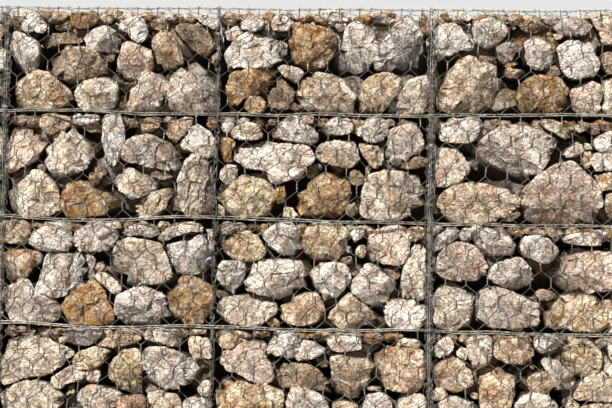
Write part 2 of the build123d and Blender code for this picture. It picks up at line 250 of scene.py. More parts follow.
    (2, "a"): """
        buff 0 0.5,48 6.5,49 13,49 13.5,46 12.5,42 9,38 5.5,38 0.5,38.5
        cream 2 7,38.5 12,43 12.5,40 9.5,37
        chalk 0 12,38.5 14,43 21,48 27,49 31,48 31.5,43 33.5,38.5 34,35.5 29,34.5 18.5,34.5 14,37
        pale 0 33,40.5 34,43.5 38.5,46 42.5,48.5 48.5,48 53,45.5 55,41.5 51,35.5 41.5,34 36,35 34,37
        grey 1 55.5,43 57.5,45 63.5,48.5 68,49 72.5,46.5 74,43.5 71.5,41 66,42 60,42
        pale 0.5 73.5,41 76,44 79.5,46.5 85,49 90,49 94.5,46 93,44 88,44 79,41 74.5,39.5
        ochre 3 74,48 77,48.5 78,46 75,45
        grey 1 96,46 99.5,46 99.5,34 98,38 96.5,42
        blue 0 77,36 79.5,39 88.5,40 93,43 96,41 97.5,37 98.5,31 99.5,26.5 90,24.5 82.5,23.5 81,28
        cream 0 50.5,31.5 55,39 59.5,41 65.5,40.5 74.5,38.5 77,34 80,26 80,23.5 75.5,20.5 61,18.5 52,23
        chalk 0 16,18 18,20.5 19.5,29 21,33 34.5,34 38.5,32.5 41,29 40.5,24.5 35,18 28,13 24.5,13.5 16.5,16
        grey 2 38.5,33.5 42,33 44,31 43,27 41,26.5
        tan 2 44,28.5 47,29.5 49,28 48,25.5 45,25
        cream 1 44.5,23 46,25.5 49.5,24.5 54.5,20.5 57,18.5 56.5,15.5 54,14 50.5,17 46,20.5
        brown 4 52,14.5 55,14 54,11 52.5,12
        tan 0 0.5,36 5,36.5 15.5,34 19,31.5 18,29 15,26.5 12.5,23 8.5,20 4,18 0.5,18
        grey 0 0.5,16 4,18 8.5,20.5 12.5,21 17,15 25.5,11.5 27.5,8 27.5,2.5 22.5,1 6,1 2,4
        ochre 0 28,10 28.5,13 35.5,18.5 38.5,22 42.5,22.5 47.5,18 51,10 53,5 53,1 45,0.5 33.5,0.5
        pale 0 53.5,6.5 55,14 63,18 68,19 73,17.5 76.5,16 76.5,11.5 79,9 79,4 77,0.5 58,0.5 55.5,3
        rust 0 76.5,14.5 79,19 86,23.5 91,23 98.5,19 99.5,14 99.5,9 95,2 90,0.5 82,4 77,12
        """,
    (2, "b"): """
        slate 1.5 2,48 6,49.5 9.5,47.5 8.5,44 4,43 2,45
        sand 0 2.5,39.5 5,42.5 15.5,46 18.5,44 21,41 23.5,37 24.5,34.5 21,32 15.5,31.5 9,32 4.5,34.5
        ochre 2.5 19,46.5 22,48.5 25,48.5 25.5,46 22.5,44
        chalk 0 22.5,43 25.5,46 29,49 36,49.5 38.5,46 41,42 41,38 37,32.5 32,34 27,36.5
        ochre 3 40,48 42.5,48 42.5,45.5 40,45.5
        sand 0 41,40 42,44 44.5,48.5 51,49.5 59,49 63,45 62,41 61.5,36.5 56,31.5 51,31 47,31.5 43,34.5
        grey 3 61,39.5 64,38.5 64,35.5 61.5,35.5
        pale 1 63.5,44 65,48.5 68.5,49 71,47.5 69,43.5 65.5,40
        pink 0 70.5,41.5 77,47.5 81,49.5 86,48.5 90.5,41.5 90.5,36 88,31.5 84.5,30.5 74.5,31.5 70.5,33.5
        peach 1.5 66,37 67.5,39.5 70.5,39.5 71,35.5 69,33.5 66.5,34
        tan 1.5 88.5,46 92,48.5 97.5,48.5 98.5,46 97.5,43 93,40.5 90,43
        cream 0 86.5,15.5 87.5,24.5 88.5,29 90.5,35 93,39.5 97,40 98.5,37 98,24.5 98.5,19 98,14 89,15
        blue 0 1.5,23 1.5,29 4,31 13,31 15,28.5 13,21 10.5,17.5 9,15.5 6.5,17.5 3,20
        chalk 0 14,21.5 19,30 24,32.5 31,33 41.5,30.5 42.5,27 45,20 41,18.5 32,14 27.5,14 17,16.5 14.5,19
        chalk 0 43.5,26 46,29.5 50.5,31 56,31 61.5,30 64,24.5 62,20.5 56.5,13.5 52,12.5 50,15.5
        pale 0 63,18 63.5,21 71,30.5 75,30 78,27.5 85,22 84,18 79.5,11.5 77,9 72.5,11.5
        layered 0 1,8.5 1.5,11.5 5,14 11.5,15.5 19,15.5 25.5,14.5 29,12 30,9 28,6 21,1.5 14,1 4,4.5
        buff 2 25,2.5 28,5.5 31,3.5 32,0.5 27,0.5
        tan 0 30.5,9 31.5,11.5 40,16 45,17.5 48,17 50,14 52.5,10 52,6.5 45,1.5 38,2 32.5,4
        buff 0 52.5,6.5 56,9 62.5,17.5 65,16 68,13 79,6 78,3.5 72.5,1.5 61.5,0.5 54.5,2.5
        chalk 0 79.5,9 80.5,13 84,14.5 90,14.5 95,14 98.5,9 98.5,5 96,2 92,0.5 85,0.5 81.5,2.5
        tan 3 96,12.5 99,12 99,9.5 97,10
        brown 4 0.5,17.5 6,17 8,15 1,13
        brown 4 56,33 64,34.5 65,30.5 58,30.5
        brown 5 79,29 86,30 87,25 84,23
        """,
    (2, "c"): """
        blue 0 1.5,37 2,42 4,44.5 10.5,48 12.5,46 13,43.5 9.5,41.5 6,38.5 2.5,35.5
        blue 1.5 13.5,45 16,48 18.5,48 19,44.5 18,42 14.5,42.5
        pale 0 18.5,47.5 20,49 25.5,48.5 34.5,46 38.5,45.5 41.5,38.5 40,36 34.5,34.5 25.5,35 24.5,38 21,41.5
        chalk 0 42,39 42.5,42.5 45,44.5 49,45 54.5,43 58.5,40.5 59,37 57,34.5 54.5,32 50.5,32 43,36
        tan 3 39,47 44,47.5 44,44.5 40,44
        tan 3 49,48 55,48 55,45 50,45
        brown 4 56,48 60,47 60,42 57,43
        cream 0.5 61,42.5 62,45 67,46 73,47 80,48.5 83,47.5 83,44 80,41 75,40.5 63,41.5
        chalk 1 83.5,44 90,45 91,38 85,37.5
        rose 0 2.5,27.5 4.5,35 7.5,38.5 12,41 16.5,41.5 21,39.5 25.5,33.5 27,30 25.5,25.5 20.5,23.5 6.5,24.5
        grey 0 27,25 28.5,29.5 32,32.5 41,35 45,32.5 50.5,25 50,22.5 46,20.5 40.5,19.5 34.5,21
        pink 0 51,27.5 52,31 61,34.5 64.5,40 70.5,39.5 82,38 86,35 88,29 87,22 80,20 66.5,18.5 56.5,23
        cream 0 1.5,14 4,18 7,22.5 19,22.5 21,19 20.5,9 21,5 18.5,1.5 11.5,1 5,1.5 2.5,5 3,10
        grey 0 24,20 28,21.5 36,19.5 46,16.5 50,14.5 51,11.5 51,6 50,2 32,1.5 23,4.5 23,9
        grey 0 21.5,13 23,16.5 26.5,17 29.5,14.5 29,10 26,8 22.5,9
        tan 2 48.5,18.5 51,20.5 55.5,19.5 58,18 55.5,15.5 51,15
        sand 0 51.5,9 52.5,11.5 58.5,16.5 63,18.5 75.5,18 79.5,15.5 83,7.5 81,3 75.5,1.5 55,2 52,4.5
        cream 0.5 84,18 90,19 92,12 91,5 86,4 84,10
        cream 3 82,2.5 88,3 88,0.5 83,0.5
        buff 0 93,33 98,34 99,26 97,20 92,21
        pale 0 93,17 99,17 99,8 94,7
        tan 0 92,47 98,48 99,40 94,38
        """,
    (1, "a"): """
        cream 0 0.5,29 3,38.5 4.5,44 7,46 18.5,47 24.5,41.5 36,37.5 31.5,34 24.5,27.5 11,25.5 6,22.5 2.5,23
        tan 3 4,48.5 14.5,49 15,46.5 5,46
        brown 4 20,48 29,48 28,43 24,43.5
        slate 0.5 30,48.5 40,49 48,48.5 48.5,46 46,43 41,40.5 36,40 31,40.5 30,44
        buff 2.5 27,43.5 30,45 31,41 28.5,40.5
        buff 0 45,43 48,45 53,46.5 56.5,48.5 61.5,48.5 65,47 66.5,44 64,42 55,40 44.5,41
        cream 0 68.5,46 70,49 82.5,49 86.5,47.5 87,44 86,40.5 79.5,41 75.5,43 70,43
        buff 0 88.5,43 89.5,46 93.5,46 98.5,44.5 99.5,42 99.5,36 96,35.5 91.5,34.5 89.5,38.5
        tan 3 88.5,49 97,49 97,46.5 90,46
        sand 0 35,32 36,36 40,38.5 45,40 51.5,39.5 52.5,37.5 50.5,34.5 47,31 42,30 38,30
        pink 0.5 24.5,25 28,27.5 32,31 38.5,30.5 41,27 37,24.5 32,22.5 28.5,20 25,21.5
        pink 1 41,29.5 47,30.5 48.5,27 46,24 42,24
        sand 0 50.5,27 51.5,30 57.5,38.5 61,40.5 65,40.5 66,36 67.5,27 68,22 67,19 61.5,18.5 56.5,20.5
        pale 0 68.5,31 68,40 72.5,40.5 79,40 89,36.5 95.5,31 95,29 91,25 86.5,22.5 80,21 72,23 69,25.5
        brown 4 92,34.5 97,35.5 99.5,34 99,31 95,31
        cream 0 0.5,17 3,20 7,22 16,24 22,24 24,21.5 30,17 31,13 25,8 12,6 2,8
        grey 0.5 37,17.5 38.5,20.5 43.5,22.5 54,20.5 57.5,18.5 56,13 48,9 40,10
        rust 3 31.5,21 35,23 36,18 32,17
        tan 0.5 57,17 66,18.5 70,14 68,6 60,5 55.5,10
        buff 1 70,19 76,20.5 84,19 86,12 80,6 72,8
        grey 0 87,17 93,18 98.5,17 99.5,12 95,7 88,9
        cream 1 93,21.5 96,25.5 99.5,26 99.5,19 95,18.5
        pale 0 0.5,6.5 11,5 13,0.5 1,0.5
        tan 0 14,5 25,7 33,7 34,1 15,0.5
        chalk 0 35,8 47,8 54,5 53,0.5 36,0.5
        grey 0.5 55,4 67,5 70,3.5 70,0.5 56,0.5
        sand 0 71,6.5 80,5 87,7 94,5 99,3 98,0.5 72,0.5
        """,
    (1, "b"): """
        sand 0 1.5,45 4,48 9,49 14,48.5 15,46 13,43 8.5,40.5 3.5,40.5
        rose 0 2.5,37 12.5,42.5 17,45 22,46 25.5,43.5 25,38.5 29,27.5 25.5,24.5 20.5,25 11.5,29.5 5.5,30.5
        chalk 0 26,41 27.5,45 31,48 36,48.5 41,46.5 43,43 42,39 37,37 30,37 26,38.5
        pale 0.5 42,45 47,44.5 51,42.5 53,40.5 50,38 46,36 42,36.5 40,38.5
        tan 3 37,39 45,37 45,35 38,35.5
        ochre 3 18.5,48.5 27,48.5 27,46 20,46.5
        ochre 2 42.5,48 50,48.5 50,45.5 44,45.5
        chalk 0 53,44 54.5,47.5 59,48.5 66.5,48.5 68.5,46 69,42.5 68,40.5 56.5,40.5
        rust 3 71,48 79,48 80,45 72,44.5
        brown 4 80,48 86,48 86,44.5 81,44.5
        cream 1 85.5,44 87.5,46.5 91,47 95,46 97.5,44 96,42.5 86,43
        tan 0 55,36 56,39 69,40 73.5,38.5 75.5,35 75,30 72.5,25.5 68,18.5 63.5,18 57.5,21 56,25.5
        peach 0 75,37 75.5,41.5 81,43 92.5,42 97,41 98.5,31 97.5,24.5 94,22 80,23.5 77.5,29
        brown 0.5 29,25 31.5,31.5 34.5,34.5 45,33.5 50,31 54,25.5 55.5,21.5 53,20.5 40,23.5 31,22.5
        brown 4 47,37 54,38 54,32 50,32
        sand 0 2,23 3,29 7.5,29.5 13,27 18,24.5 29.5,24 32.5,21 34,17 31,10 20,7 8,8 2,13
        grey 0 34.5,17 36,22 39,23.5 43.5,23 52,19 55,16.5 53,9 45,6 36,8
        pale 0 70,15 72,20.5 77,21.5 82,20.5 83.5,15 80,8 71.5,8
        cream 0 86,17 88,21.5 93,21.5 99,21 99,12 94,7 87,9
        tan 1 56,16 60,17.5 67,16.5 69,10 62,7 56,9
        tan 3 72,24 78,24.5 79,22 73,21.5
        pale 0 1,6.5 8,6.5 17,5.5 18,0.5 1,0.5
        buff 0.5 19,6 31,8.5 35,5 34,0.5 20,0.5
        grey 0 36,6.5 45,4.5 54,7.5 56,0.5 37,0.5
        chalk 0 57,6 63,5.5 72,7 80,6.5 82,1 58,0.5
        tan 0.5 83,7 88,7 95,5.5 99,8 99,0.5 84,0.5
        """,
    (1, "c"): """
        chalk 0 1.5,41 4,44.5 6,47.5 9,48 11.5,45 11,42 8.5,39.5 5,38 2,38
        cream 1 13,41 15,43.5 18,42 19,38.5 16.5,37.5 13.5,39
        grey 0 15.5,45.5 17.5,48 22.5,49 27.5,48.5 29,45.5 28.5,39.5 27.5,36 24.5,33.5 20,34 17.5,43
        tan 0 30,41 30,46 34.5,48 41,48.5 46,48.5 48.5,41.5 48.5,38 46,35 41.5,36 31,37
        rust 3 46.5,35.5 49,35 49,33 47,33.5
        chalk 0 47.5,46 50.5,48 53,49.5 57.5,49.5 60,47 60,43.5 56,41.5 50.5,41.5
        sand 0 60.5,40 62,46 67.5,48 77.5,48.5 80,44 80,39 78,35 75,31.5 70.5,30 66.5,31.5 63.5,34.5
        cream 0 81,45.5 83.5,49 88,49 93,46 93,38 88,35 84,36.5 82,41.5
        tan 0 2.5,31 4,34.5 10.5,39.5 14,38 19,33 21,29.5 20.5,26 10.5,21.5 6.5,23 4,26
        peach 0 23.5,31.5 25.5,34 31,35.5 41,32.5 43.5,31 40.5,24.5 36.5,15 30,11 25,13 23.5,20
        tan 0 45,29.5 48,32 54,33 58,31 57,25 53,23 48.5,22.5 46,25
        grey 0.5 51,38 54,39.5 59,38 61.5,34.5 66.5,31.5 67,27.5 64.5,24 59,22.5 57,25 55,31
        buff 0 66,22 70,29 79.5,34.5 84,35.5 90,34 95,30 95,22 88,19.5 77,20 68,20.5
        cream 1.5 1,20 3,24 7,24.5 9.5,21 6,18.5 2,18
        pale 0 5,17 9,20.5 17,20.5 22,18 23,12 15,8 6,9
        cream 0 39,16 42,20.5 47,23 54,22.5 58,19.5 60,15 55,9 43,9
        buff 1 62,17 66,21.5 69,18 68,15 63,15
        tan 2 19,22 23,23 23.5,19.5 20,19.5
        tan 0 70,18 77,18.5 85,18 86,10 78,7 70,9
        grey 0 88,18 94,20 99,18 99,8 90,7
        pale 0 94,47 99,48 99,36 94.5,33
        buff 0 96.5,31 99,31 99,22 96.5,22
        chalk 0.5 61,13.5 68.5,13.5 68.5,8 60,7
        grey 0 1,7 14,6.5 16,0.5 1,0.5
        cream 0 17,7 23,9.5 32,9 38,7 37,0.5 18,0.5
        tan 0.5 39,8 46,7.5 56,7 56,0.5 39,0.5
        pale 0 57,5.5 68,6.5 76,5.5 76,0.5 58,0.5
        sand 0 77,5.5 87,7 99,6 99,0.5 78,0.5
        """,
}


# The block
# Hard limestone split in the quarry, so a block has a few flat faces, blunt arrises and a taper to its tail.
# It is cut from its outline by planes: two to four make its face, and a few more knock off its corners.
stone_colours = {
    "chalk": (0.90, 0.84, 0.77),
    "pale": (0.83, 0.76, 0.69),
    "blue": (0.74, 0.71, 0.69),
    "grey": (0.68, 0.61, 0.54),
    "slate": (0.44, 0.40, 0.37),
    "cream": (0.86, 0.76, 0.63),
    "sand": (0.82, 0.68, 0.47),
    "buff": (0.76, 0.63, 0.49),
    "tan": (0.64, 0.51, 0.38),
    "peach": (0.83, 0.65, 0.48),
    "rose": (0.73, 0.59, 0.50),
    "pink": (0.87, 0.68, 0.57),
    "ochre": (0.58, 0.41, 0.23),
    "rust": (0.46, 0.32, 0.19),
    # A dark tone for the small fillers deep in the gaps, partly their own colour and partly painted shade of
    # the gaps.
    "brown": (0.36, 0.27, 0.19),
    "layered": (0.80, 0.69, 0.57),
}
iron_stain = {"ochre": 0.9, "rust": 0.9, "sand": 0.55, "peach": 0.5, "tan": 0.4, "buff": 0.25, "cream": 0.2}
cm = 0.01
face_clearance = 0.009
ground_clearance = 0.003
# How much deeper the sides turned away from every face count for the painted shade.
turned_away_shade_depth = 0.12
arris_sharpness = 60.0
arris_pull = 0.55
corner_blunting = 0.08
flank_fullness = 5.0
outline_growth = 1.055
heart_depth = 0.16
near_an_end = 0.1
shoulder_share = 0.42
deepest_shoulder = 0.065
face_tilt = 0.2
side_tilt = 0.58
no_limit = 9.0


def round_form(detail, front_steps):
    """Directions spread over a ball, and the triangles between them, closer together on the outer side."""
    form = bmesh.new()
    bmesh.ops.create_icosphere(form, subdivisions=detail, radius=1.0)
    for step in range(front_steps):
        reach = 0.3 if step == 0 else -0.3
        near = [e for e in form.edges if e.verts[0].co.y + e.verts[1].co.y < reach]
        bmesh.ops.subdivide_edges(form, edges=near, cuts=1)
        bmesh.ops.triangulate(form, faces=form.faces[:])
        for vertex in form.verts:
            vertex.co.normalize()
    points = np.array([v.co[:] for v in form.verts])
    triangles = np.array([[v.index for v in f.verts] for f in form.faces])
    form.free()
    return points, triangles


stone_forms = [round_form(2, 0), round_form(2, 1), round_form(2, 2), round_form(2, 3)]
least_sizes = {"front": (0.04, 0.075, 0.17), "seen": (0.07, no_limit, no_limit), "hidden": (no_limit,) * 3}


def outline_facts(outline):
    """The area of an outline, its middle, and the turn and half sizes of the box along its longer side."""
    x, z = outline[:, 0], outline[:, 1]
    cross = x * np.roll(z, -1) - np.roll(x, -1) * z
    area = cross.sum() / 2
    middle = np.array([
        ((x + np.roll(x, -1)) * cross).sum(),
        ((z + np.roll(z, -1)) * cross).sum(),
    ]) / (6 * area)
    offsets = outline - middle
    moment = offsets.T @ offsets
    turn = 0.5 * math.atan2(2 * moment[0, 1], moment[0, 0] - moment[1, 1])
    axes = np.array([[math.cos(turn), math.sin(turn)], [-math.sin(turn), math.cos(turn)]])
    half = np.abs(offsets @ axes.T).max(0)
    return abs(area), middle, axes, half


def reach_of_outline(outline, directions):
    """How far the outline lies from its middle in each direction."""
    starts = outline[None]
    edges = np.roll(outline, -1, 0)[None] - starts
    d = directions[:, None]
    turn = d[..., 0] * edges[..., 1] - d[..., 1] * edges[..., 0]
    turn = np.where(np.abs(turn) < 1e-12, 1e-12, turn)
    reach = (starts[..., 0] * edges[..., 1] - starts[..., 1] * edges[..., 0]) / turn
    along = (starts[..., 0] * d[..., 1] - starts[..., 1] * d[..., 0]) / turn
    good = (reach > 0) & (along > -1e-6) & (along < 1 + 1e-6)
    return np.where(good, reach, 0).max(1)


def flank_level(rays, outline, front_taper, back_taper):
    """How near each ray's end is to the flanks of a block, which narrow to its front and to its tail."""
    across = np.hypot(rays[:, 0], rays[:, 2])
    bearing = np.arctan2(rays[:, 2], rays[:, 0])
    near_bearings = [bearing - corner_blunting, bearing, bearing + corner_blunting]
    rim = np.mean([reach_of_outline(outline, np.column_stack([np.cos(near), np.sin(near)]))
                   for near in near_bearings], axis=0)
    rise = np.where(rays[:, 1] < 0, -rays[:, 1] / front_taper, rays[:, 1] / back_taper)
    outward = across / np.maximum(rim, 1e-6)
    return (outward ** flank_fullness + rise ** flank_fullness) ** (1 / flank_fullness)


def drawn_to_arrises(surface, triangles, cuts, flank):
    """Moves the points close to where two planes meet on to that arris, so that it comes out straight."""
    corners = np.concatenate([triangles[:, [0, 1]], triangles[:, [1, 2]], triangles[:, [2, 0]]])
    lengths = np.linalg.norm(surface[corners[:, 0]] - surface[corners[:, 1]], axis=1)
    spacing = np.bincount(corners[:, 0], lengths) / np.bincount(corners[:, 0])
    levels = surface @ cuts.T
    order = np.argsort(-levels, axis=1)
    between = cuts[order[:, 0]] - cuts[order[:, 1]]
    step = (surface * between).sum(1) / np.maximum((between * between).sum(1), 1e-9)
    move = step[:, None] * between
    near = (np.linalg.norm(move, axis=1) < arris_pull * spacing) & (levels.max(1) > flank)
    return surface - move * near[:, None]


def cut_block(outline, set_back, view, chance):
    """One block in the frame of its face: along, inward and up, in metres. Larger blocks are cut finer."""
    area, middle, axes, half = outline_facts(outline)
    size = math.sqrt(area)
    directions, triangles = stone_forms[sum(size > least for least in least_sizes[view])]
    shoulder = min(shoulder_share * size, deepest_shoulder) * chance.uniform(0.75, 1.1)
    tail = size * chance.uniform(0.5, 0.75)
    rays = directions.copy()
    rays[:, [0, 2]] = (directions[:, [0, 2]] * half) @ axes
    rays[:, 1] *= shoulder + tail
    tapers = shoulder * chance.uniform(1.7, 3.0), tail * chance.uniform(1.3, 2.0)
    flank = flank_level(rays, outline - middle, *tapers)
    cuts = [np.array([0, 1 / tail, 0])]
    for count in range(chance.choice([2, 2, 3, 4])):
        tilt = face_tilt if count == 0 else side_tilt
        slope = np.array([chance.uniform(-tilt, tilt), -1.0, chance.uniform(-tilt, tilt)])
        cuts.append(slope / (shoulder * (1.0 if count == 0 else chance.uniform(0.95, 1.15))))
    for _ in range(chance.choice([4, 5, 6])):
        bearing = chance.uniform(0, 2 * math.pi)
        lean = math.radians(chance.uniform(-72, -20))
        cut = np.array([
            math.cos(bearing) * math.cos(lean), math.sin(lean), math.sin(bearing) * math.cos(lean),
        ])
        surface = rays / np.maximum((rays @ np.array(cuts).T).max(1), flank)[:, None]
        taken_off = chance.uniform(0.03, 0.17) * math.sin(-lean)
        cuts.append(cut / ((surface @ cut).max() * (1 - taken_off)))
    cuts = np.array(cuts)
    surface = rays / np.maximum((rays @ cuts.T).max(1), flank)[:, None]
    rays = drawn_to_arrises(surface, triangles, cuts, flank_level(surface, outline - middle, *tapers))
    levels = np.column_stack([rays @ cuts.T, flank_level(rays, outline - middle, *tapers)])
    reach = (np.maximum(levels, 0) ** arris_sharpness).sum(1) ** (1 / arris_sharpness)
    block = rays / reach[:, None]
    block[:, 1] += set_back + face_clearance - block[:, 1].min()
    block[:, [0, 2]] = block[:, [0, 2]] * outline_growth + middle
    return block, triangles, size


def small_rubble(chance):
    """A row of small stones under the top of a bay, each as colour, set back and outline."""
    row, along = [], 0.0
    while along < bay_length - 0.12:
        width, height = chance.uniform(0.07, 0.12), chance.uniform(0.05, 0.08)
        middle = np.array([along + width / 2, course_height - 0.004 - height / 2])
        turns = [math.radians(52 * corner + chance.uniform(-15, 15)) for corner in range(7)]
        corners = np.array([(math.cos(turn), math.sin(turn)) for turn in turns])
        row.append((chance.choice(["tan", "brown", "buff", "rust", "slate"]), chance.uniform(0.025, 0.05),
                    middle + corners * (width / 2, height / 2)))
        along += 0.85 * width
    return row


def read_sketch(sketch, mirrored):
    """The stones of one bay as colour, set back and outline, turned end for end where it is mirrored."""
    stones = []
    for line in sketch.split("\n"):
        if not line.strip():
            continue
        colour, set_back, *points = line.split()
        outline = np.array([[float(n) for n in point.split(",")] for point in points])
        if mirrored:
            outline[:, 0] = 100 - outline[:, 0]
            outline = outline[::-1]
        stones.append((colour, float(set_back) * cm, outline * cm))
    return stones


def clear_of_edges(face, column, row):
    """The part of a bay where a face may have stones, clear of the stones of the faces that it meets."""
    span = {"lid": (bay_count, rows_across_depth), "base": (bay_count, rows_across_depth)}.get(face)
    reach = {"lid": 0.08, "base": 0.05, "left_end": 0.03, "right_end": 0.03}.get(face, -no_limit)
    columns, rows = span if span else (1 if face.endswith("end") else bay_count, 0)
    low = np.array([reach if column == 0 else -no_limit, reach if span and row == 0 else -no_limit])
    high = np.array([
        bay_length - reach if column == columns - 1 else no_limit,
        course_height - reach if span and row == rows - 1 else no_limit,
    ])
    return low, high


def room_to_edge(outline, column, row):
    """How far the middle of a stone on a long face lies from the nearest end, top or foot of the wall."""
    x, z = outline.mean(0) + np.array([column * bay_length, row * course_height])
    return min(x, bay_count * bay_length - x, z, course_count * course_height - z)


def depth_behind_faces(heap, points):
    """How far each point lies behind the nearest face of the wall that it looks out to."""
    normals = np.empty(3 * len(points))
    heap.vertex_normals.foreach_get("vector", normals)
    toward_x, toward_y, toward_z = normals.reshape(-1, 3).T
    x, y, z = points.T
    depths = []
    for facing, depth in ((-toward_x, x - left), (toward_x, right - x), (-toward_y, y - front),
                          (toward_y, back - y), (toward_z, top - z)):
        # Sides turned away from a face count deeper, so that the finish paints them darker as shade.
        turned_away = 1 - np.clip((facing - 0.05) / 0.35, 0, 1)
        depths.append(depth + turned_away_shade_depth * turned_away)
    return np.minimum.reduce(depths)


class StoneHeap:
    """Stones that are gathered into one mesh, with what the stone's finish needs to know of each."""

    def __init__(self):
        self.points, self.triangles, self.count = [], [], 0
        self.marks = {"stone_colour": [], "bedding": [], "banded": [], "stain": []}

    def lay(self, face, column, row, stones, view, chance,
            least_size=0.0, extra_set_back=0.0, edge_room=-no_limit):
        """Lays the stones of a sketch on a face, with their outer sides at the mesh."""
        place = faces[face] @ Matrix.Translation((column * bay_length, 0, row * course_height))
        low, high = clear_of_edges(face, column, row)
        turn = np.array(place.to_3x3())
        corner = np.array(place.translation)
        for colour, set_back, outline in stones:
            deep = set_back + extra_set_back
            outline = outline + np.maximum(low - outline.min(0), 0) - np.maximum(outline.max(0) - high, 0)
            block, triangles, size = cut_block(outline, deep, view, chance)
            tone = np.array(stone_colours[colour]) * chance.uniform(0.93, 1.06)
            bed = Vector((chance.uniform(-0.5, 0.5), chance.uniform(-0.4, 0.4), 1)).normalized()
            if colour == "layered":
                bed = Vector((chance.choice([-1.0, 1.0]), 0.1, 0.35)).normalized()
            stain = iron_stain.get(colour, 0.0) + chance.uniform(0.05, 0.4)
            banded = 1.0 if colour == "layered" else chance.uniform(0.1, 0.7)
            if size < least_size or room_to_edge(outline, column, row) < edge_room:
                continue
            self.triangles.append(triangles + self.count)
            self.count += len(block)
            self.marks["bedding"].append(block @ np.array(bed) + chance.uniform(0, 50))
            self.marks["banded"].append(np.full(len(block), banded))
            self.marks["stain"].append(np.full(len(block), stain))
            self.marks["stone_colour"].append(np.tile([*tone, 1.0], (len(block), 1)))
            self.points.append(block @ turn.T + corner)

    def pack_heart(self, course, basket):
        """The rubble in the heart of a basket, behind the stones of every face."""
        low, high = (Vector(corner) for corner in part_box(f"stone_fill_course_{course}_{basket}"))
        at_left, at_right = low.x < left + near_an_end, high.x > right - near_an_end
        near = Vector((heart_depth * at_left, heart_depth, heart_depth * (course == 1)))
        far = Vector((heart_depth * at_right, heart_depth, heart_depth * (course == course_count)))
        heart = bmesh.new()
        bmesh.ops.create_cube(heart, size=1.0)
        bmesh.ops.subdivide_edges(heart, edges=heart.edges, cuts=4, use_grid_fill=True)
        bmesh.ops.triangulate(heart, faces=heart.faces[:])
        span = (high - far) - (low + near)
        for vertex in heart.verts:
            vertex.co = low + near + Vector((vertex.co[axis] + 0.5) * span[axis] for axis in range(3))
        points = np.array([v.co[:] for v in heart.verts])
        self.triangles.append(np.array([[v.index for v in f.verts] for f in heart.faces]) + self.count)
        heart.free()
        self.count += len(points)
        for mark, value in (("bedding", 0.0), ("banded", 0.0), ("stain", 0.2)):
            self.marks[mark].append(np.full(len(points), value))
        self.marks["stone_colour"].append(np.tile([*stone_colours["tan"], 1.0], (len(points), 1)))
        self.points.append(points)

    def mesh(self, name):
        """The heap as one mesh."""
        heap = bpy.data.meshes.new(name)
        points = np.concatenate(self.points)
        heap.from_pydata(points, [], np.concatenate(self.triangles))
        # The depth behind the faces, by which the stone's finish paints shade.
        self.marks["sunk"] = [depth_behind_faces(heap, points)]
        for mark, values in self.marks.items():
            kind, part = ("FLOAT_COLOR", "color") if mark == "stone_colour" else ("FLOAT", "value")
            field = heap.attributes.new(mark, kind, "POINT")
            field.data.foreach_set(part, np.concatenate(values).ravel())
        return heap


# The stone's finish
# Weathered limestone is dull, with a fine grain. Some blocks are stained by iron or bedded.
# Painted shade darkens small hollows, creases and the parts that sit back or turn away; painted highlight
# lightens arrises.
def add_node(tree, kind, links=None, **settings):
    """Adds a node with its settings. A link or a value is given by its socket's name or number."""
    node = tree.nodes.new(kind)
    for setting, value in settings.items():
        setattr(node, setting, value)
    for socket, value in (links or {}).items():
        if isinstance(value, bpy.types.NodeSocket):
            tree.links.new(value, node.inputs[socket])
        else:
            node.inputs[socket].default_value = value
    return node


def new_material(name):
    """An empty material with its output and its main shader."""
    material = bpy.data.materials.new(name)
    material.use_nodes = True
    shader = material.node_tree.nodes["Principled BSDF"]
    return material, material.node_tree, shader


def noise_at(tree, where, scale, detail=4.0, roughness=0.55):
    """The value of a noise pattern at a place."""
    node = add_node(tree, "ShaderNodeTexNoise",
                    {"Vector": where, "Scale": scale, "Detail": detail, "Roughness": roughness})
    return node.outputs["Fac"]


def spread(tree, value, low, high, to_low=0.0, to_high=1.0):
    """Stretches the part of a value between two levels over a new range."""
    node = add_node(tree, "ShaderNodeMapRange",
                    {"Value": value, 1: low, 2: high, 3: to_low, 4: to_high}, clamp=True)
    return node.outputs["Result"]


def blend(tree, amount, first, second, way="MIX"):
    """Blends two colours by an amount."""
    sockets = {0: amount, 6: first, 7: second}
    return add_node(tree, "ShaderNodeMix", sockets, data_type="RGBA", blend_type=way).outputs[2]


def arithmetic(tree, operation, first, second=0.0):
    """One step of arithmetic."""
    return add_node(tree, "ShaderNodeMath", {0: first, 1: second}, operation=operation).outputs[0]


def product(tree, first, second):
    """Multiplies two values."""
    return arithmetic(tree, "MULTIPLY", first, second)


def vector_math(tree, operation, first, second):
    """One step of vector arithmetic."""
    sockets = {0: first, 3 if operation == "SCALE" else 1: second}
    return add_node(tree, "ShaderNodeVectorMath", sockets, operation=operation).outputs[0]


def facet_height(tree, where, size):
    """The height of a surface that is broken into flat facets, each tilted its own way."""
    cells = add_node(tree, "ShaderNodeTexVoronoi", {"Vector": where, "Scale": size}).outputs
    across = vector_math(tree, "SUBTRACT", where, cells["Position"])
    lean = vector_math(tree, "SUBTRACT", cells["Color"], (0.5, 0.5, 0.5))
    height = add_node(tree, "ShaderNodeVectorMath", {0: across, 1: lean}, operation="DOT_PRODUCT")
    return height.outputs["Value"]


def one_over(tree, value):
    """One divided by a value."""
    return arithmetic(tree, "DIVIDE", 1.0, value)


def total(tree, first, second):
    """Adds two values."""
    return arithmetic(tree, "ADD", first, second)


def attribute(tree, name, output):
    """Reads a mark that is stored on the mesh."""
    return add_node(tree, "ShaderNodeAttribute", attribute_name=name).outputs[output]


def linear(colour):
    """A colour as it looks, turned into the light values that a shader takes."""
    return tuple(c / 12.92 if c <= 0.04045 else ((c + 0.055) / 1.055) ** 2.4 for c in colour) + (1.0,)


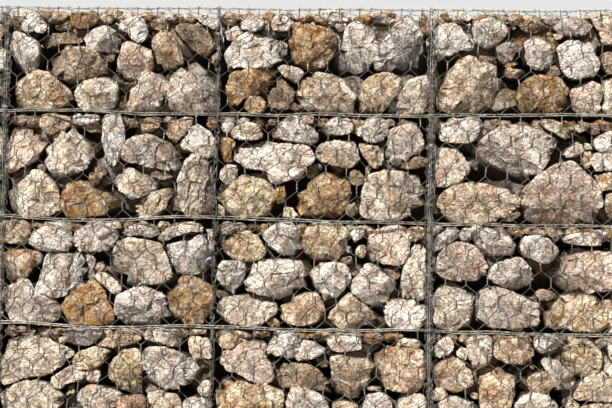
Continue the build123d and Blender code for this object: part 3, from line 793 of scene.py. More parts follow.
def shaded(tree, colour, level):
    """Makes a colour darker or brighter by a level."""
    grey = add_node(tree, "ShaderNodeCombineColor", {0: level, 1: level, 2: level}).outputs[0]
    return blend(tree, 1.0, colour, grey, "MULTIPLY")


def ridged(tree, value):
    """Turns the middle level of a noise pattern into sharp creases: 0 in a crease and 1 away from it."""
    return spread(tree, arithmetic(tree, "ABSOLUTE", total(tree, value, -0.5)), 0.0, crease_width)


crease_width = 0.16
# The dark colour of the painted shade in recesses and on sides turned away.
recess_shade_colour = (0.17, 0.13, 0.10)
rust_stain_colour = (0.58, 0.40, 0.19)
# A dark colour for real stains and bands, and also for the painted shade in creases and small hollows.
dark_stain_and_shade_colour = (0.30, 0.20, 0.12)
warm_stain_colour = (0.66, 0.50, 0.36)
lime_colour = (0.97, 0.95, 0.92)

stone, tree, shader = new_material("broken_stone")
place = add_node(tree, "ShaderNodeTexCoord").outputs["Object"]
own_colour = attribute(tree, "stone_colour", "Color")
sunk = attribute(tree, "sunk", "Fac")
stain = attribute(tree, "stain", "Fac")

clouds = noise_at(tree, place, 11.0, 5.0, 0.6)
banded = attribute(tree, "banded", "Fac")
bed_height = total(tree, attribute(tree, "bedding", "Fac"), product(tree, clouds, 0.09))
layers = add_node(tree, "ShaderNodeTexNoise", {
    "W": bed_height, "Scale": 34.0, "Detail": 4.0, "Roughness": 0.65,
}, noise_dimensions="1D").outputs["Fac"]
creases = ridged(tree, noise_at(tree, place, 19.0, 5.0, 0.62))
crumble = noise_at(tree, place, 95.0, 3.0, 0.6)
grain = noise_at(tree, place, 330.0, 2.0, 0.6)

colour = shaded(tree, own_colour, spread(tree, clouds, 0.3, 0.72, 0.78, 1.2))
stain_cloud = spread(tree, noise_at(tree, place, 15.0, 8.0, 0.68), 0.47, 0.6)
colour = blend(tree, product(tree, stain_cloud, stain), colour, linear(rust_stain_colour))
dark_cloud = spread(tree, noise_at(tree, place, 26.0, 8.0, 0.72), 0.54, 0.64)
dark_cloud = product(tree, dark_cloud, spread(tree, stain, 0.2, 1.1, 0.35, 0.8))
colour = blend(tree, dark_cloud, colour, linear(dark_stain_and_shade_colour))
lime_cloud = spread(tree, noise_at(tree, place, 18.0, 8.0, 0.72), 0.53, 0.64, 0.0, 0.5)
colour = blend(tree, lime_cloud, colour, linear(lime_colour))
warp = add_node(tree, "ShaderNodeTexNoise", {
    "Vector": place, "Scale": 24.0, "Detail": 4.0, "Roughness": 0.7,
})
bent_place = vector_math(tree, "ADD", place, vector_math(tree, "SCALE", warp.outputs["Color"], 0.035))
flakes = add_node(tree, "ShaderNodeTexVoronoi", {"Vector": bent_place, "Scale": 15.0}).outputs["Color"]
flakes = add_node(tree, "ShaderNodeSeparateColor", {0: flakes}).outputs
colour = shaded(tree, colour, spread(tree, flakes[0], 0.0, 1.0, 0.86, 1.14))
colour = blend(tree, spread(tree, flakes[1], 0.6, 1.0, 0.0, 0.45), colour, linear(warm_stain_colour))
band = product(tree, spread(tree, layers, 0.36, 0.52, 1.0, 0.0), banded)
colour = blend(tree, product(tree, band, 0.45), colour, linear(dark_stain_and_shade_colour))
# Painted shade: the creases of the relief are darkened in the colour as well as bumped.
colour = blend(tree, spread(tree, creases, 0.0, 0.2, 0.4, 0.0), colour, linear(dark_stain_and_shade_colour))
specks = spread(tree, total(tree, crumble, product(tree, grain, 0.6)), 0.68, 0.9, 0.62, 1.32)
# Painted shade: small dark spots stand for the shade inside small hollows of the stone.
pit_shade = spread(tree, noise_at(tree, place, 150.0, 3.0, 0.7), 0.57, 0.64, 0.0, 0.8)
colour = blend(tree, pit_shade, colour, linear(dark_stain_and_shade_colour))
colour = shaded(tree, colour, specks)
# Painted light: convex arrises are lightened as painted highlight and hollows darkened as painted shade, by
# pointiness.
edges = add_node(tree, "ShaderNodeNewGeometry").outputs["Pointiness"]
colour = shaded(tree, colour, spread(tree, edges, 0.44, 0.56, 0.72, 1.28))
colour = blend(tree, 1.0, colour, (0.93, 0.90, 0.86, 1.0), "DARKEN")
# Painted shade: blocks and sides that sit back from the faces or turn away from them are blended towards a
# dark colour.
recess_shade = spread(tree, sunk, 0.04, 0.11, 0.0, 0.95)
colour = blend(tree, recess_shade, colour, linear(recess_shade_colour))
tree.links.new(colour, shader.inputs["Base Color"])
shader.inputs["Roughness"].default_value = 0.9
shader.inputs["Specular IOR Level"].default_value = 0.2

chips = total(tree, facet_height(tree, place, 34.0), product(tree, facet_height(tree, place, 90.0), 0.8))
below = {}
for height, strength, depth in (
    (chips, 1.0, 0.75), (creases, 1.0, 0.004), (crumble, 1.0, 0.004), (grain, 1.0, 0.001),
    (layers, banded, 0.012),
):
    sockets = {"Height": height, "Strength": strength, "Distance": depth, **below}
    below = {"Normal": add_node(tree, "ShaderNodeBump", sockets).outputs["Normal"]}
tree.links.new(below["Normal"], shader.inputs["Normal"])


# The split faces
# A split face is never flat: it is scalloped where flakes broke away, and rough in between.
# A tree of nodes pushes the faces of every block in and out, the same each time.
def socket_of(tree, name):
    """The identifier of a tree's input, by its name."""
    return next(s.identifier for s in tree.interface.items_tree if s.name == name and s.in_out == "INPUT")


def new_tree(name, **inputs):
    """A tree of geometry nodes with one geometry in, named sizes, a finish and one geometry out."""
    tree = bpy.data.node_groups.new(name, "GeometryNodeTree")
    tree.interface.new_socket("Geometry", in_out="INPUT", socket_type="NodeSocketGeometry")
    for title, value in inputs.items():
        kind = "NodeSocketInt" if isinstance(value, int) else "NodeSocketFloat"
        socket = tree.interface.new_socket(title.replace("_", " "), in_out="INPUT", socket_type=kind)
        socket.default_value = value
    tree.interface.new_socket("Finish", in_out="INPUT", socket_type="NodeSocketMaterial")
    tree.interface.new_socket("Geometry", in_out="OUTPUT", socket_type="NodeSocketGeometry")
    return tree, tree.nodes.new("NodeGroupInput").outputs, tree.nodes.new("NodeGroupOutput")


def end_tree(tree, given, out, geometry):
    """Ends a tree: every copy is made real and takes its finish."""
    real = add_node(tree, "GeometryNodeRealizeInstances", {0: geometry})
    sockets = {"Geometry": real.outputs[0], "Material": given["Finish"]}
    finished = add_node(tree, "GeometryNodeSetMaterial", sockets)
    tree.links.new(finished.outputs[0], out.inputs[0])


def grown(mesh, tree, finish, **sizes):
    """Runs a mesh through a tree of geometry nodes, and gives the result as a plain mesh."""
    carrier = bpy.data.objects.new("carrier", mesh)
    bpy.context.scene.collection.objects.link(carrier)
    step = carrier.modifiers.new("nodes", "NODES")
    step.node_group = tree
    for title, value in sizes.items():
        step[socket_of(tree, title.replace("_", " "))] = value
    step[socket_of(tree, "Finish")] = finish
    bpy.context.view_layer.update()
    view = bpy.context.evaluated_depsgraph_get()
    result = bpy.data.meshes.new_from_object(carrier.evaluated_get(view), depsgraph=view)
    bpy.data.objects.remove(carrier)
    return result


rough_faces, given, out = new_tree(
    "rough_faces", Relief=0.0014, Relief_size=0.05, Facet_size=0.08, Facet_lean=0.24, Most_out=0.004,
)
where = add_node(rough_faces, "GeometryNodeInputPosition").outputs[0]
swell = add_node(rough_faces, "ShaderNodeTexNoise", {
    "Vector": where, "Scale": one_over(rough_faces, given["Relief size"]), "Detail": 5.0, "Roughness": 0.65,
}).outputs["Fac"]
swell = product(rough_faces, total(rough_faces, swell, -0.5), product(rough_faces, given["Relief"], 3.0))
facets = product(rough_faces, facet_height(rough_faces, where, one_over(rough_faces, given["Facet size"])),
                 given["Facet lean"])
normal = add_node(rough_faces, "GeometryNodeInputNormal").outputs[0]
relief = arithmetic(rough_faces, "MINIMUM", total(rough_faces, swell, facets), given["Most out"])
pushed = add_node(rough_faces, "GeometryNodeSetPosition", {
    "Geometry": given["Geometry"],
    "Offset": vector_math(rough_faces, "SCALE", normal, relief),
})
end_tree(rough_faces, given, out, pushed.outputs[0])


# The fill of each basket
# Every face of a basket is packed with the larger stones, then the heart is filled behind them.
# The bays in the photograph keep their own stones. The others take the same bays, some turned end for end.
sketched_bays = {1: "a", 2: "b", 3: "c"}
end_bay_sketches = {4: (2, "b"), 3: (4, "c"), 2: (3, "a"), 1: (2, "c")}
blunt_corner = math.radians(14)
basket_cells = {}
for course in range(1, course_count + 1):
    for column in range(bay_count):
        basket = basket_of_bay[column]
        own = basket_cells.setdefault((course, basket), [])
        key = (course, sketched_bays[column]) if column in sketched_bays else end_bay_sketches[course]
        own.append(("front", column, course - 1, key, column not in sketched_bays))
all_sketches = sorted(face_sketch)
chance = random.Random(7)


def another_bay():
    """A bay from the sketches for a face that the photograph doesn't show, and whether it is mirrored."""
    return chance.choice(all_sketches), chance.random() < 0.5


for course in range(1, course_count + 1):
    for column in range(bay_count):
        own = basket_cells[course, basket_of_bay[column]]
        own.append(("back", bay_count - 1 - column, course - 1, *another_bay()))
        for row in range(rows_across_depth):
            if course == course_count:
                own.append(("lid", column, row, *another_bay()))
            if course == 1:
                own.append(("base", column, row, *another_bay()))
    basket_cells[course, "left"].append(("left_end", 0, course - 1, *another_bay()))
    basket_cells[course, "right"].append(("right_end", 0, course - 1, *another_bay()))

least_behind = 0.1
second_layer = 0.07
inner_room = 0.2
for (course, basket), cells in basket_cells.items():
    heap = StoneHeap()
    for face, column, row, key, mirrored in cells:
        chance = random.Random(1000 * course + 100 * column + 10 * row + len(face))
        stones = read_sketch(face_sketch[key], mirrored)
        heap.lay(face, column, row, stones, {"front": "front", "base": "hidden"}.get(face, "seen"), chance)
        if face == "front":
            heap.lay(face, column, row, small_rubble(chance), "hidden", chance)
        if face in ("front", "back"):
            other = all_sketches[chance.randrange(len(all_sketches))]
            behind = read_sketch(face_sketch[other], not mirrored)
            heap.lay(face, column, row, behind, "hidden", chance, least_behind, second_layer, inner_room)
    heap.pack_heart(course, basket)
    rough = grown(heap.mesh("stones"), rough_faces, stone)
    for vertex in rough.vertices:
        vertex.co.z = max(vertex.co.z, ground + ground_clearance)
    rough.shade_smooth()
    rough.set_sharp_from_angle(angle=blunt_corner)
    piece = bpy.data.objects.new(f"stones_course_{course}_{basket}", rough)
    bpy.context.scene.collection.objects.link(piece)
    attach(piece, "root")
    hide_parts(f"stone_fill_course_{course}_{basket}")


# The wire's finish
# Galvanised steel wire that has weathered to a dull grey, with dark spots and a little rust in the twists.
# The selvedges and the lacing of the level joints take a lighter copy of the same zinc: painted light.
wire_spot_colour = (0.24, 0.22, 0.20)
wire_rust_colour = (0.42, 0.27, 0.16)


def galvanised(name, dull, bright):
    """The finish of a zinc coated wire, between a dull and a bright grey."""
    material, tree, shader = new_material(name)
    place = add_node(tree, "ShaderNodeTexCoord").outputs["Object"]
    bloom = spread(tree, noise_at(tree, place, 45.0, 4.0, 0.6), 0.35, 0.7)
    colour = blend(tree, bloom, linear(dull), linear(bright))
    spots = spread(tree, noise_at(tree, place, 240.0, 3.0, 0.6), 0.56, 0.68, 0.0, 0.7)
    colour = blend(tree, spots, colour, linear(wire_spot_colour))
    rust = spread(tree, noise_at(tree, place, 19.0, 5.0, 0.6), 0.62, 0.74, 0.0, 0.6)
    colour = blend(tree, rust, colour, linear(wire_rust_colour))
    tree.links.new(colour, shader.inputs["Base Color"])
    tree.links.new(spread(tree, bloom, 0.0, 1.0, 0.5, 0.36), shader.inputs["Roughness"])
    shader.inputs["Metallic"].default_value = 0.25
    shader.inputs["Specular IOR Level"].default_value = 0.25
    scratches = add_node(tree, "ShaderNodeBump", {
        "Height": noise_at(tree, place, 420.0, 3.0, 0.6), "Strength": 0.35, "Distance": 0.0006,
    })
    tree.links.new(scratches.outputs["Normal"], shader.inputs["Normal"])
    return material


mesh_finish = galvanised("weathered_zinc", (0.25, 0.245, 0.235), (0.62, 0.61, 0.58))
# A lighter copy of the mesh wire's zinc for the selvedges and the level lacing; its extra brightness is
# painted light.
joint_finish = galvanised("brighter_zinc", (0.44, 0.425, 0.395), (0.85, 0.83, 0.78))


# The woven mesh
# Each side of a basket is woven by machine: neighbouring wires twist together, then part and meet the next.
# A line drawing of a side goes through a tree of nodes that lays round wire on the slopes and in the twists.
selvedge_gauge = 0.0036
mesh_gauge = 0.0034
mesh_width = 0.095
twist_length = 0.043
slope_rise = 0.039
slack_reach = 0.12
least_share = 0.02
wire_corner = math.radians(60)


def woven_lines(width, height):
    """The middle lines of a side's mesh: its points, and its edges with a mark on each twist."""
    half_width, half_height = width / 2 - selvedge_gauge, height / 2 - selvedge_gauge
    row_pitch = twist_length + slope_rise
    rows = math.ceil(2 * half_height / row_pitch) + 1
    columns = math.ceil(width / mesh_width / 2) + 1
    points, numbers, edges, twisted = [], {}, [], []

    def number(x, z):
        key = (round(x, 5), round(z, 5))
        if key not in numbers:
            numbers[key] = len(points)
            points.append((x, 0.0, z))
        return numbers[key]

    def add_line(start, end, is_twist):
        (x0, z0), (x1, z1) = start, end
        low, high = 0.0, 1.0
        for first, step, limit in ((x0, x1 - x0, half_width), (z0, z1 - z0, half_height)):
            if abs(step) < 1e-9:
                if abs(first) > limit:
                    return
                continue
            ends = sorted(((-limit - first) / step, (limit - first) / step))
            low, high = max(low, ends[0]), min(high, ends[1])
        if high - low < least_share:
            return
        edges.append((number(x0 + (x1 - x0) * low, z0 + (z1 - z0) * low),
                      number(x0 + (x1 - x0) * high, z0 + (z1 - z0) * high)))
        twisted.append(is_twist)

    for row in range(rows):
        middle = half_height - twist_length / 2 - row * row_pitch
        lower = middle - twist_length / 2
        for column in range(-columns, columns + 1):
            x = (column + (0.0 if row % 2 == 0 else 0.5)) * mesh_width
            add_line((x, middle + twist_length / 2), (x, lower), True)
            for side in (-0.5, 0.5):
                add_line((x, lower), (x + side * mesh_width, lower - slope_rise), False)
    return points, edges, twisted, half_width, half_height


def line_drawing(width, height):
    """The line drawing of a side as a mesh, with each point's freedom to move away from its place."""
    points, edges, twisted, half_width, half_height = woven_lines(width, height)
    drawing = bpy.data.meshes.new("lines")
    drawing.from_pydata(points, edges, [])
    marks = drawing.attributes.new("twisted", "BOOLEAN", "EDGE")
    marks.data.foreach_set("value", twisted)
    slack = drawing.attributes.new("slack", "FLOAT", "POINT")
    edge_gap = [min(half_width - abs(x), half_height - abs(z)) for x, _, z in points]
    slack.data.foreach_set("value", [min(1.0, max(0.0, gap / slack_reach)) for gap in edge_gap])
    return drawing


def seeded_noise(tree, where, seed, scale, detail, roughness=0.5):
    """A noise pattern that is another one for each seed."""
    return add_node(tree, "ShaderNodeTexNoise", {
        "Vector": where, "W": seed, "Scale": scale, "Detail": detail, "Roughness": roughness,
    }, noise_dimensions="4D").outputs


def wire_along(tree, given, curve):
    """Lays round wire of the tree's gauge along a curve."""
    sockets = {"Resolution": given["Sides"], "Radius": product(tree, given["Gauge"], 0.5)}
    section = add_node(tree, "GeometryNodeCurvePrimitiveCircle", sockets)
    sockets = {"Curve": curve, "Profile Curve": section.outputs[0], "Fill Caps": True}
    return add_node(tree, "GeometryNodeCurveToMesh", sockets).outputs[0]


def joined(tree, *parts):
    """Joins shapes into one."""
    node = add_node(tree, "GeometryNodeJoinGeometry")
    for part in parts:
        tree.links.new(part, node.inputs[0])
    return node.outputs[0]


weave, given, out = new_tree(
    "woven_mesh", Gauge=mesh_gauge, Twist_length=twist_length, Turns=1.5, Steps=6, Sides=4,
    Waver=0.016, Belly=0.001, Seed=0.0,
)
slack = add_node(weave, "GeometryNodeInputNamedAttribute", {"Name": "slack"}, data_type="FLOAT").outputs[0]
where = add_node(weave, "GeometryNodeInputPosition").outputs[0]
sway = seeded_noise(weave, where, given["Seed"], 5.0, 3.0, 0.7)
swing = vector_math(weave, "SUBTRACT", sway["Color"], (0.5, 0.5, 0.5))
swing = vector_math(weave, "SCALE", swing, product(weave, given["Waver"], 4.0))
in_plane = vector_math(weave, "MULTIPLY", swing, (1.0, 0.0, 1.0))
outward = add_node(weave, "ShaderNodeCombineXYZ", {
    1: product(weave, product(weave, given["Belly"], -1.4), sway["Fac"]),
})
moved = add_node(weave, "GeometryNodeSetPosition", {
    "Geometry": given["Geometry"],
    "Offset": vector_math(weave, "SCALE", vector_math(weave, "ADD", in_plane, outward.outputs[0]), slack),
})
ends = add_node(weave, "GeometryNodeInputMeshEdgeVertices").outputs
line = vector_math(weave, "SUBTRACT", ends["Position 2"], ends["Position 1"])
kept = add_node(weave, "GeometryNodeCaptureAttribute", {0: moved.outputs[0]}, domain="EDGE")
kept.capture_items.new("VECTOR", "Line")
weave.links.new(line, kept.inputs[1])
twisted = add_node(weave, "GeometryNodeInputNamedAttribute", {"Name": "twisted"}, data_type="BOOLEAN")
sorted_lines = add_node(weave, "GeometryNodeSeparateGeometry", {
    0: kept.outputs[0], 1: twisted.outputs[0],
}, domain="EDGE")
slopes = add_node(weave, "GeometryNodeMeshToCurve", {0: sorted_lines.outputs[1]})
slope_wires = wire_along(weave, given, slopes.outputs[0])
half_gauge = product(weave, given["Gauge"], 0.5)
strand_path = add_node(weave, "GeometryNodeCurveSpiral", {
    "Resolution": given["Steps"], "Rotations": given["Turns"], "Start Radius": half_gauge,
    "End Radius": half_gauge, "Height": given["Twist length"],
})
centre = add_node(weave, "ShaderNodeCombineXYZ", {2: product(weave, given["Twist length"], -0.5)})
strand = wire_along(weave, given, strand_path.outputs[0])
sockets = {"Geometry": strand, "Translation": centre.outputs[0]}
strand = add_node(weave, "GeometryNodeTransform", sockets).outputs[0]
half_turn = (0.0, 0.0, math.pi)
partner = add_node(weave, "GeometryNodeTransform", {"Geometry": strand, "Rotation": half_turn}).outputs[0]
twist_points = add_node(weave, "GeometryNodeMeshToPoints", {0: sorted_lines.outputs[0]}, mode="EDGES")
upright = add_node(weave, "FunctionNodeAlignRotationToVector", {"Vector": kept.outputs[1]}, axis="Z")
long = add_node(weave, "ShaderNodeVectorMath", {0: kept.outputs[1]}, operation="LENGTH").outputs["Value"]
stretch = arithmetic(weave, "DIVIDE", long, given["Twist length"])
scale = add_node(weave, "ShaderNodeCombineXYZ", {0: 1.0, 1: 1.0, 2: stretch})
twists = add_node(weave, "GeometryNodeInstanceOnPoints", {
    "Points": twist_points.outputs[0], "Instance": joined(weave, partner, strand),
    "Rotation": upright.outputs[0], "Scale": scale.outputs[0],
})
end_tree(weave, given, out, joined(weave, twists.outputs[0], slope_wires))

basket_first_bay = {basket: basket_of_bay.index(basket) for basket in ("left", "middle", "right")}
basket_bays = {basket: basket_of_bay.count(basket) for basket in basket_first_bay}
plain_weave = {"Turns": 1.0, "Steps": 4, "Sides": 3}


def woven_side(face, first_bay, bays, row, height, **sizes):
    """The woven mesh of one side of a basket, in its place on a face of the wall."""
    seed = 3.7 * first_bay + 11.3 * row + len(face)
    lines = line_drawing(bays * bay_length, height)
    along, up = (first_bay + bays / 2) * bay_length, row * course_height + height / 2
    lines.transform(Matrix.Translation((along, selvedge_gauge / 2, up)))
    side = grown(lines, weave, mesh_finish, Seed=seed, **sizes)
    side.transform(faces[face])
    return side


# The filling and the load bend the baskets a little out of true, so that seams and mesh wander together.
bent, given, out = new_tree("bent_by_the_load", Bend=0.014, Bend_size=0.45, Top=top)
where = add_node(bent, "GeometryNodeInputPosition").outputs[0]
drift = add_node(bent, "ShaderNodeTexNoise", {
    "Vector": where, "Scale": one_over(bent, given["Bend size"]), "Detail": 2.0, "Roughness": 0.45,
}).outputs["Color"]
drift = vector_math(bent, "SUBTRACT", drift, (0.5, 0.5, 0.5))
height = add_node(bent, "ShaderNodeSeparateXYZ", {0: where}).outputs[2]
under_lid = spread(bent, total(bent, height, product(bent, given["Top"], -1.0)), -0.2, 0.0, 1.0, 0.3)
freedom = add_node(bent, "ShaderNodeCombineXYZ", {0: 0.6, 1: 0.0, 2: under_lid}).outputs[0]
drift = vector_math(bent, "MULTIPLY", drift, freedom)
drift = vector_math(bent, "SCALE", drift, product(bent, given["Bend"], 4.0))
shifted = add_node(bent, "GeometryNodeSetPosition", {"Geometry": given["Geometry"], "Offset": drift})
end_tree(bent, given, out, shifted.outputs[0])


def joined_piece(name, parts, finish):
    """One piece from several meshes of the same finish, bent with the rest of the wall."""
    whole = bmesh.new()
    for part in parts:
        whole.from_mesh(part)
    straight = bpy.data.meshes.new("straight")
    whole.to_mesh(straight)
    whole.free()
    mesh = grown(straight, bent, finish)
    mesh.name = name
    for vertex in mesh.vertices:
        vertex.co.z = max(vertex.co.z, ground)
    mesh.materials.clear()
    mesh.materials.append(finish)
    mesh.polygons.foreach_set("material_index", [0] * len(mesh.polygons))
    mesh.shade_smooth()
    mesh.set_sharp_from_angle(angle=wire_corner)
    piece = bpy.data.objects.new(name, mesh)
    bpy.context.scene.collection.objects.link(piece)
    return piece


def fix_mesh_piece(piece, *nodes):
    """Fixes a piece of woven mesh or wire to the wall, in place of the plain parts that it stands for."""
    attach(piece, "root")
    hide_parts(*nodes)


wall_depth = back - front
for course in range(1, course_count + 1):
    for basket, first_bay in basket_first_bay.items():
        side = woven_side("front", first_bay, basket_bays[basket], course - 1, course_height)
        fix_mesh_piece(joined_piece(f"woven_front_course_{course}_{basket}", [side], mesh_finish),
                       f"front_mesh_course_{course}_{basket}")
    rear = [woven_side("back", bay_count - first_bay - basket_bays[basket], basket_bays[basket], course - 1,
                       course_height, **plain_weave)
            for basket, first_bay in basket_first_bay.items()]
    fix_mesh_piece(joined_piece(f"woven_back_course_{course}", rear, mesh_finish),
                   f"back_mesh_course_{course}")

for face in ("left_end", "right_end"):
    sides = [woven_side(face, 0, 1, row, course_height, **plain_weave) for row in range(course_count)]
    fix_mesh_piece(joined_piece(f"woven_{face}", sides, mesh_finish), f"{face}_mesh")
for face in ("lid", "base"):
    sides = [woven_side(face, first_bay, basket_bays[basket], 0, wall_depth, Belly=0.0, **plain_weave)
             for basket, first_bay in basket_first_bay.items()]
    fix_mesh_piece(joined_piece(f"woven_{face}", sides, mesh_finish), f"{face}_mesh")

faces["diaphragm"] = face_frame((0, back, ground), (0, -1, 0), (1, 0, 0), (0, 0, 1))
sides = [woven_side("diaphragm", 0, 1, row, course_height, Belly=0.0, **plain_weave)
         for row in range(course_count)]
fix_mesh_piece(joined_piece("woven_diaphragms", sides, mesh_finish), "diaphragms")


# The selvedges
# The edges of each basket are a thicker wire, slightly bent in handling. The mesh is wound on to it.
# The baskets stand against each other, so two selvedges run side by side at every joint.
binding, given, out = new_tree(
    "laid_wire", Gauge=selvedge_gauge, Pitch=0.05, Loop=0.0, Steps=1.0, Sides=5, Waver=0.0015,
    Waver_size=0.15, Slack_loops=0.0, Start_turn=0.0, Flatness=1.0, Seed=0.0,
)
path = add_node(binding, "GeometryNodeMeshToCurve", {0: given["Geometry"]})
even = add_node(binding, "GeometryNodeResampleCurve", {
    "Curve": path.outputs[0], "Length": arithmetic(binding, "DIVIDE", given["Pitch"], given["Steps"]),
}, mode="LENGTH")
where = add_node(binding, "GeometryNodeInputPosition").outputs[0]
drift = seeded_noise(binding, where, given["Seed"], one_over(binding, given["Waver size"]), 2.0)
wander = vector_math(binding, "SUBTRACT", drift["Color"], (0.5, 0.5, 0.5))
wander = vector_math(binding, "SCALE", wander, product(binding, given["Waver"], 4.0))
along = add_node(binding, "GeometryNodeSplineParameter").outputs["Length"]
turn = arithmetic(binding, "DIVIDE", along, given["Pitch"])
slack_noise = seeded_noise(binding, where, given["Seed"], 9.0, 2.0)["Fac"]
turn = total(binding, turn, product(binding, given["Slack loops"], slack_noise))
turn = total(binding, turn, given["Start turn"])
angle = product(binding, turn, 2 * math.pi)
tangent = add_node(binding, "GeometryNodeInputTangent").outputs[0]
askew = (0.31, 0.83, 0.47)
across = vector_math(binding, "CROSS_PRODUCT", tangent, askew)
across = vector_math(binding, "NORMALIZE", across, (0.0, 0.0, 0.0))
other = vector_math(binding, "CROSS_PRODUCT", tangent, across)
loop_noise = seeded_noise(binding, where, given["Seed"], 23.0, 1.0)["Fac"]
reach = product(binding, given["Loop"], spread(binding, loop_noise, 0.25, 0.75, 0.45, 1.4))
reach_across = product(binding, reach, arithmetic(binding, "COSINE", angle))
reach_other = product(binding, reach, arithmetic(binding, "SINE", angle))
circle_across = vector_math(binding, "SCALE", across, reach_across)
circle_other = vector_math(binding, "SCALE", other, reach_other)
flat = add_node(binding, "ShaderNodeCombineXYZ", {0: 1.0, 1: given["Flatness"], 2: 1.0}).outputs[0]
offset = vector_math(binding, "ADD", wander, vector_math(binding, "ADD", circle_across, circle_other))
offset = vector_math(binding, "MULTIPLY", offset, flat)
laid = add_node(binding, "GeometryNodeSetPosition", {"Geometry": even.outputs[0], "Offset": offset})
end_tree(binding, given, out, wire_along(binding, given, laid.outputs[0]))

joint_gap = 0.0046


def path_mesh(*runs):
    """The middle lines of wires, each from point to point."""
    lines = bpy.data.meshes.new("paths")
    points, edges = [], []
    for run in runs:
        edges += [(len(points) + step, len(points) + step + 1) for step in range(len(run) - 1)]
        points += [tuple(point) for point in run]
    lines.from_pydata(points, edges, [])
    return lines


def selvedge_runs(low, high):
    """The twelve edges of a basket, on the middle lines of their wires."""
    inset = Vector((joint_gap, selvedge_gauge / 2, joint_gap))
    low, high = low + inset, high - inset
    runs = []
    for x in (low.x, high.x):
        ring = [(low.y, low.z), (high.y, low.z), (high.y, high.z), (low.y, high.z), (low.y, low.z)]
        runs.append([(x, y, z) for y, z in ring])
    for y in (low.y, high.y):
        for z in (low.z, high.z):
            runs.append([(low.x, y, z), (high.x, y, z)])
    return runs


for course in range(1, course_count + 1):
    frames = []
    for number, basket in enumerate(basket_first_bay):
        low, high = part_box(f"basket_frame_course_{course}_{basket}")
        frames.append(grown(path_mesh(*selvedge_runs(Vector(low), Vector(high))), binding, joint_finish,
                            Seed=2.9 * course + 7.7 * number, Waver=0.003, Waver_size=0.3))
    piece = joined_piece(f"selvedges_course_{course}", frames, joint_finish)
    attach(piece, "root")
    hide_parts(*[f"basket_frame_course_{course}_{basket}" for basket in basket_first_bay])


# The lacing
# The baskets are laced to each other on site with a soft wire, wound round both selvedges of each joint.
# The upright joints carry the most turns, because the lacing of every lid and every end stops there.
lacing_gauge = 0.0024
loop_spacing = 0.0475
joint_radius = 0.0068
inset = 0.004

loops, given, out = new_tree(
    "wound_loops", Gauge=lacing_gauge, Spacing=loop_spacing, Radius=joint_radius, Depth=1.0,
    Length=0.007, Turns=1.5, Steps=13, Sides=4, Uneven=0.25, Tilt=0.3, Seed=0,
)
path = add_node(loops, "GeometryNodeMeshToCurve", {0: given["Geometry"]})
spots = add_node(loops, "GeometryNodeCurveToPoints", {
    "Curve": path.outputs[0], "Length": given["Spacing"],
}, mode="LENGTH").outputs
facing = add_node(loops, "FunctionNodeAxesToRotation", {0: spots["Tangent"], 1: (0.0, 1.0, 0.0)},
                  primary_axis="Z", secondary_axis="Y").outputs[0]
least_tilt = vector_math(loops, "SCALE", (-1.0, -1.0, -1.0), given["Tilt"])
most_tilt = vector_math(loops, "SCALE", (1.0, 1.0, 1.0), given["Tilt"])
tilt = add_node(loops, "FunctionNodeRandomValue", {0: least_tilt, 1: most_tilt, 8: given["Seed"]},
                data_type="FLOAT_VECTOR").outputs[0]
smallest = arithmetic(loops, "SUBTRACT", 1.0, given["Uneven"])
largest = total(loops, given["Uneven"], 1.0)
size = add_node(loops, "FunctionNodeRandomValue", {2: smallest, 3: largest, 8: given["Seed"]},
                data_type="FLOAT").outputs[1]
shape = add_node(loops, "ShaderNodeCombineXYZ", {0: size, 1: product(loops, size, given["Depth"]), 2: size})
coil = add_node(loops, "GeometryNodeCurveSpiral", {
    "Resolution": given["Steps"], "Rotations": given["Turns"], "Start Radius": given["Radius"],
    "End Radius": given["Radius"], "Height": given["Length"],
})
loop = wire_along(loops, given, coil.outputs[0])
wound = add_node(loops, "GeometryNodeInstanceOnPoints", {
    "Points": spots["Points"], "Instance": loop, "Rotation": facing, "Scale": shape.outputs[0],
})
tilted = add_node(loops, "GeometryNodeRotateInstances", {0: wound.outputs[0], "Rotation": tilt})
end_tree(loops, given, out, tilted.outputs[0])


def level_runs(y, heights):
    """Runs along the wall, from end to end at some heights."""
    return [[(left + inset, y, z), (right - inset, y, z)] for z in heights]


def upright_runs(places):
    """Runs up the wall at some places along and across it."""
    return [[(x, y, ground + inset), (x, y, top - inset)] for x, y in places]


def lacing(name, finish, runs, strands, loop_sizes, strand_sizes):
    """Laces some joints: wires that run along them, each in its own way, and loops wound round them."""
    wound = [grown(path_mesh(*runs), binding, finish, Gauge=lacing_gauge, Seed=5.3 * strand + len(name),
                   Start_turn=strand / strands, **strand_sizes) for strand in range(strands)]
    wound.append(grown(path_mesh(*runs), loops, finish, **loop_sizes))
    piece = joined_piece(name, wound, finish)
    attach(piece, "root")


inner_heights = [ground + count * course_height for count in range(1, course_count)]
joint_heights = [ground + inset, *inner_heights, top - inset]
joint_places = [left + bay_length, right - bay_length]
corner_places = [(x, y) for x in (left + inset, right - inset) for y in (front + inset, back - inset)]
running_wire = {"Pitch": 0.16, "Loop": 0.0055, "Steps": 6.0, "Sides": 3, "Waver": 0.002, "Flatness": 0.5}
lacing("lacing_level_front", joint_finish, level_runs(front + inset, joint_heights), 1,
       {"Seed": 4}, running_wire)
lacing("lacing_level_back", joint_finish, level_runs(back - inset, joint_heights), 1,
       {"Spacing": 0.095, "Steps": 9, "Sides": 3, "Seed": 9}, running_wire)
lacing("lacing_upright_front", mesh_finish, upright_runs([(x, front + inset) for x in joint_places]), 7,
       {"Spacing": 0.043, "Radius": 0.017, "Depth": 0.45, "Uneven": 0.5, "Tilt": 0.8, "Seed": 2},
       {"Pitch": 0.17, "Loop": 0.018, "Steps": 14.0, "Sides": 4, "Waver": 0.008, "Waver_size": 0.09,
        "Slack_loops": 3.0, "Flatness": 0.35})
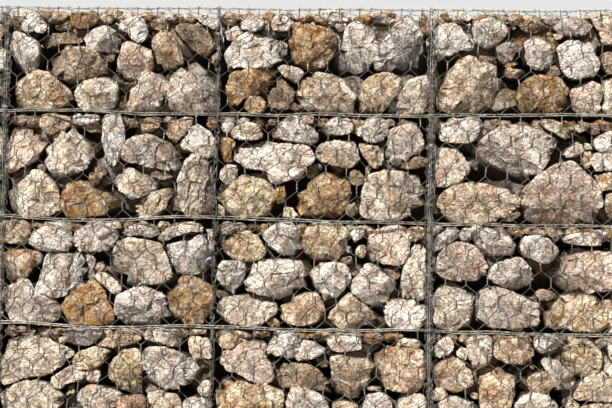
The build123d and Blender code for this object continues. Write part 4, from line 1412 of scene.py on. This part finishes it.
lacing("lacing_diaphragm_front", mesh_finish, upright_runs([(0.0, front + inset)]), 3,
       {"Spacing": 0.048, "Radius": 0.011, "Depth": 0.7, "Uneven": 0.3, "Tilt": 0.5, "Seed": 6},
       {"Pitch": 0.13, "Loop": 0.01, "Steps": 12.0, "Sides": 4, "Waver": 0.005, "Waver_size": 0.07,
        "Slack_loops": 2.0, "Flatness": 0.6})
lacing("lacing_corners", mesh_finish, upright_runs(corner_places), 1,
       {"Radius": 0.006, "Steps": 9, "Sides": 3, "Seed": 1},
       {"Pitch": 0.1, "Loop": 0.004, "Steps": 6.0, "Sides": 3, "Waver": 0.001})


# The setting
# A pale floor and backdrop, a high lamp from the upper left like the photograph's sun, and a weak fill lamp.
scene = bpy.context.scene
for name, energy, degrees_wide, colour, shines in (
    ("key", 6.1, 2, (1.0, 0.96, 0.90), (0.41, 0.72, -0.81)),
    ("fill", 2.6, 25, (1.0, 1.0, 1.0), (-0.62, -0.70, -0.34)),
):
    lamp = bpy.data.objects.new(name, bpy.data.lights.new(name, "SUN"))
    lamp.data.energy = energy
    lamp.data.angle = math.radians(degrees_wide)
    lamp.data.color = colour
    lamp.rotation_euler = Vector(shines).to_track_quat("-Z", "Y").to_euler()
    scene.collection.objects.link(lamp)


def plain_to_camera(tree, for_light, for_camera):
    """A colour that lights the wall one way, and that the camera and clear reflections see another way."""
    ray = add_node(tree, "ShaderNodeLightPath").outputs
    seen = arithmetic(tree, "MAXIMUM", ray["Is Camera Ray"], ray["Is Glossy Ray"])
    seen = arithmetic(tree, "MAXIMUM", seen, ray["Is Transmission Ray"])
    return blend(tree, seen, for_light, for_camera)


floor_reach = 30
floor = bpy.data.meshes.new("floor")
corners = [(x * floor_reach, y * floor_reach, 0) for x, y in ((-1, -1), (1, -1), (1, 1), (-1, 1))]
floor.from_pydata(corners, [], [(0, 1, 2, 3)])
floor_piece = bpy.data.objects.new("floor", floor)
floor_piece.location.z = ground
pale, tree, shader = new_material("pale_floor")
ground_colour = plain_to_camera(tree, (0.20, 0.185, 0.17, 1.0), (0.44, 0.43, 0.42, 1.0))
tree.links.new(ground_colour, shader.inputs["Base Color"])
shader.inputs["Roughness"].default_value = 0.95
floor.materials.append(pale)
scene.collection.objects.link(floor_piece)

world = bpy.data.worlds.new("studio")
world.use_nodes = True
tree = world.node_tree
background = tree.nodes["Background"]
sky = plain_to_camera(tree, (0.09, 0.095, 0.10, 1.0), (0.80, 0.80, 0.79, 1.0))
tree.links.new(sky, background.inputs["Color"])
background.inputs["Strength"].default_value = 1.0
scene.world = world

# The camera
# It stands at the photograph's viewing point, a little right of the middle and below the wall's mid height.
pixels_per_metre = 216.2
picture_width = 612
camera_distance = 4.5
lens_sensor = 36.0
camera_point = Vector((0.60, front - camera_distance, 0.835))
camera_aim = Vector((0.426, front, 1.08))
camera_roll = math.radians(0.9)
camera = bpy.data.objects.new("camera", bpy.data.cameras.new("camera"))
camera.data.sensor_width = lens_sensor
camera.data.lens = lens_sensor * camera_distance / (picture_width / pixels_per_metre)
towards = (camera_aim - camera_point).to_track_quat("-Z", "Y").to_matrix().to_4x4()
camera.matrix_world = Matrix.Translation(camera_point) @ towards @ Matrix.Rotation(camera_roll, 4, "Z")
scene.collection.objects.link(camera)
scene.camera = camera
scene.view_settings.view_transform = "Standard"
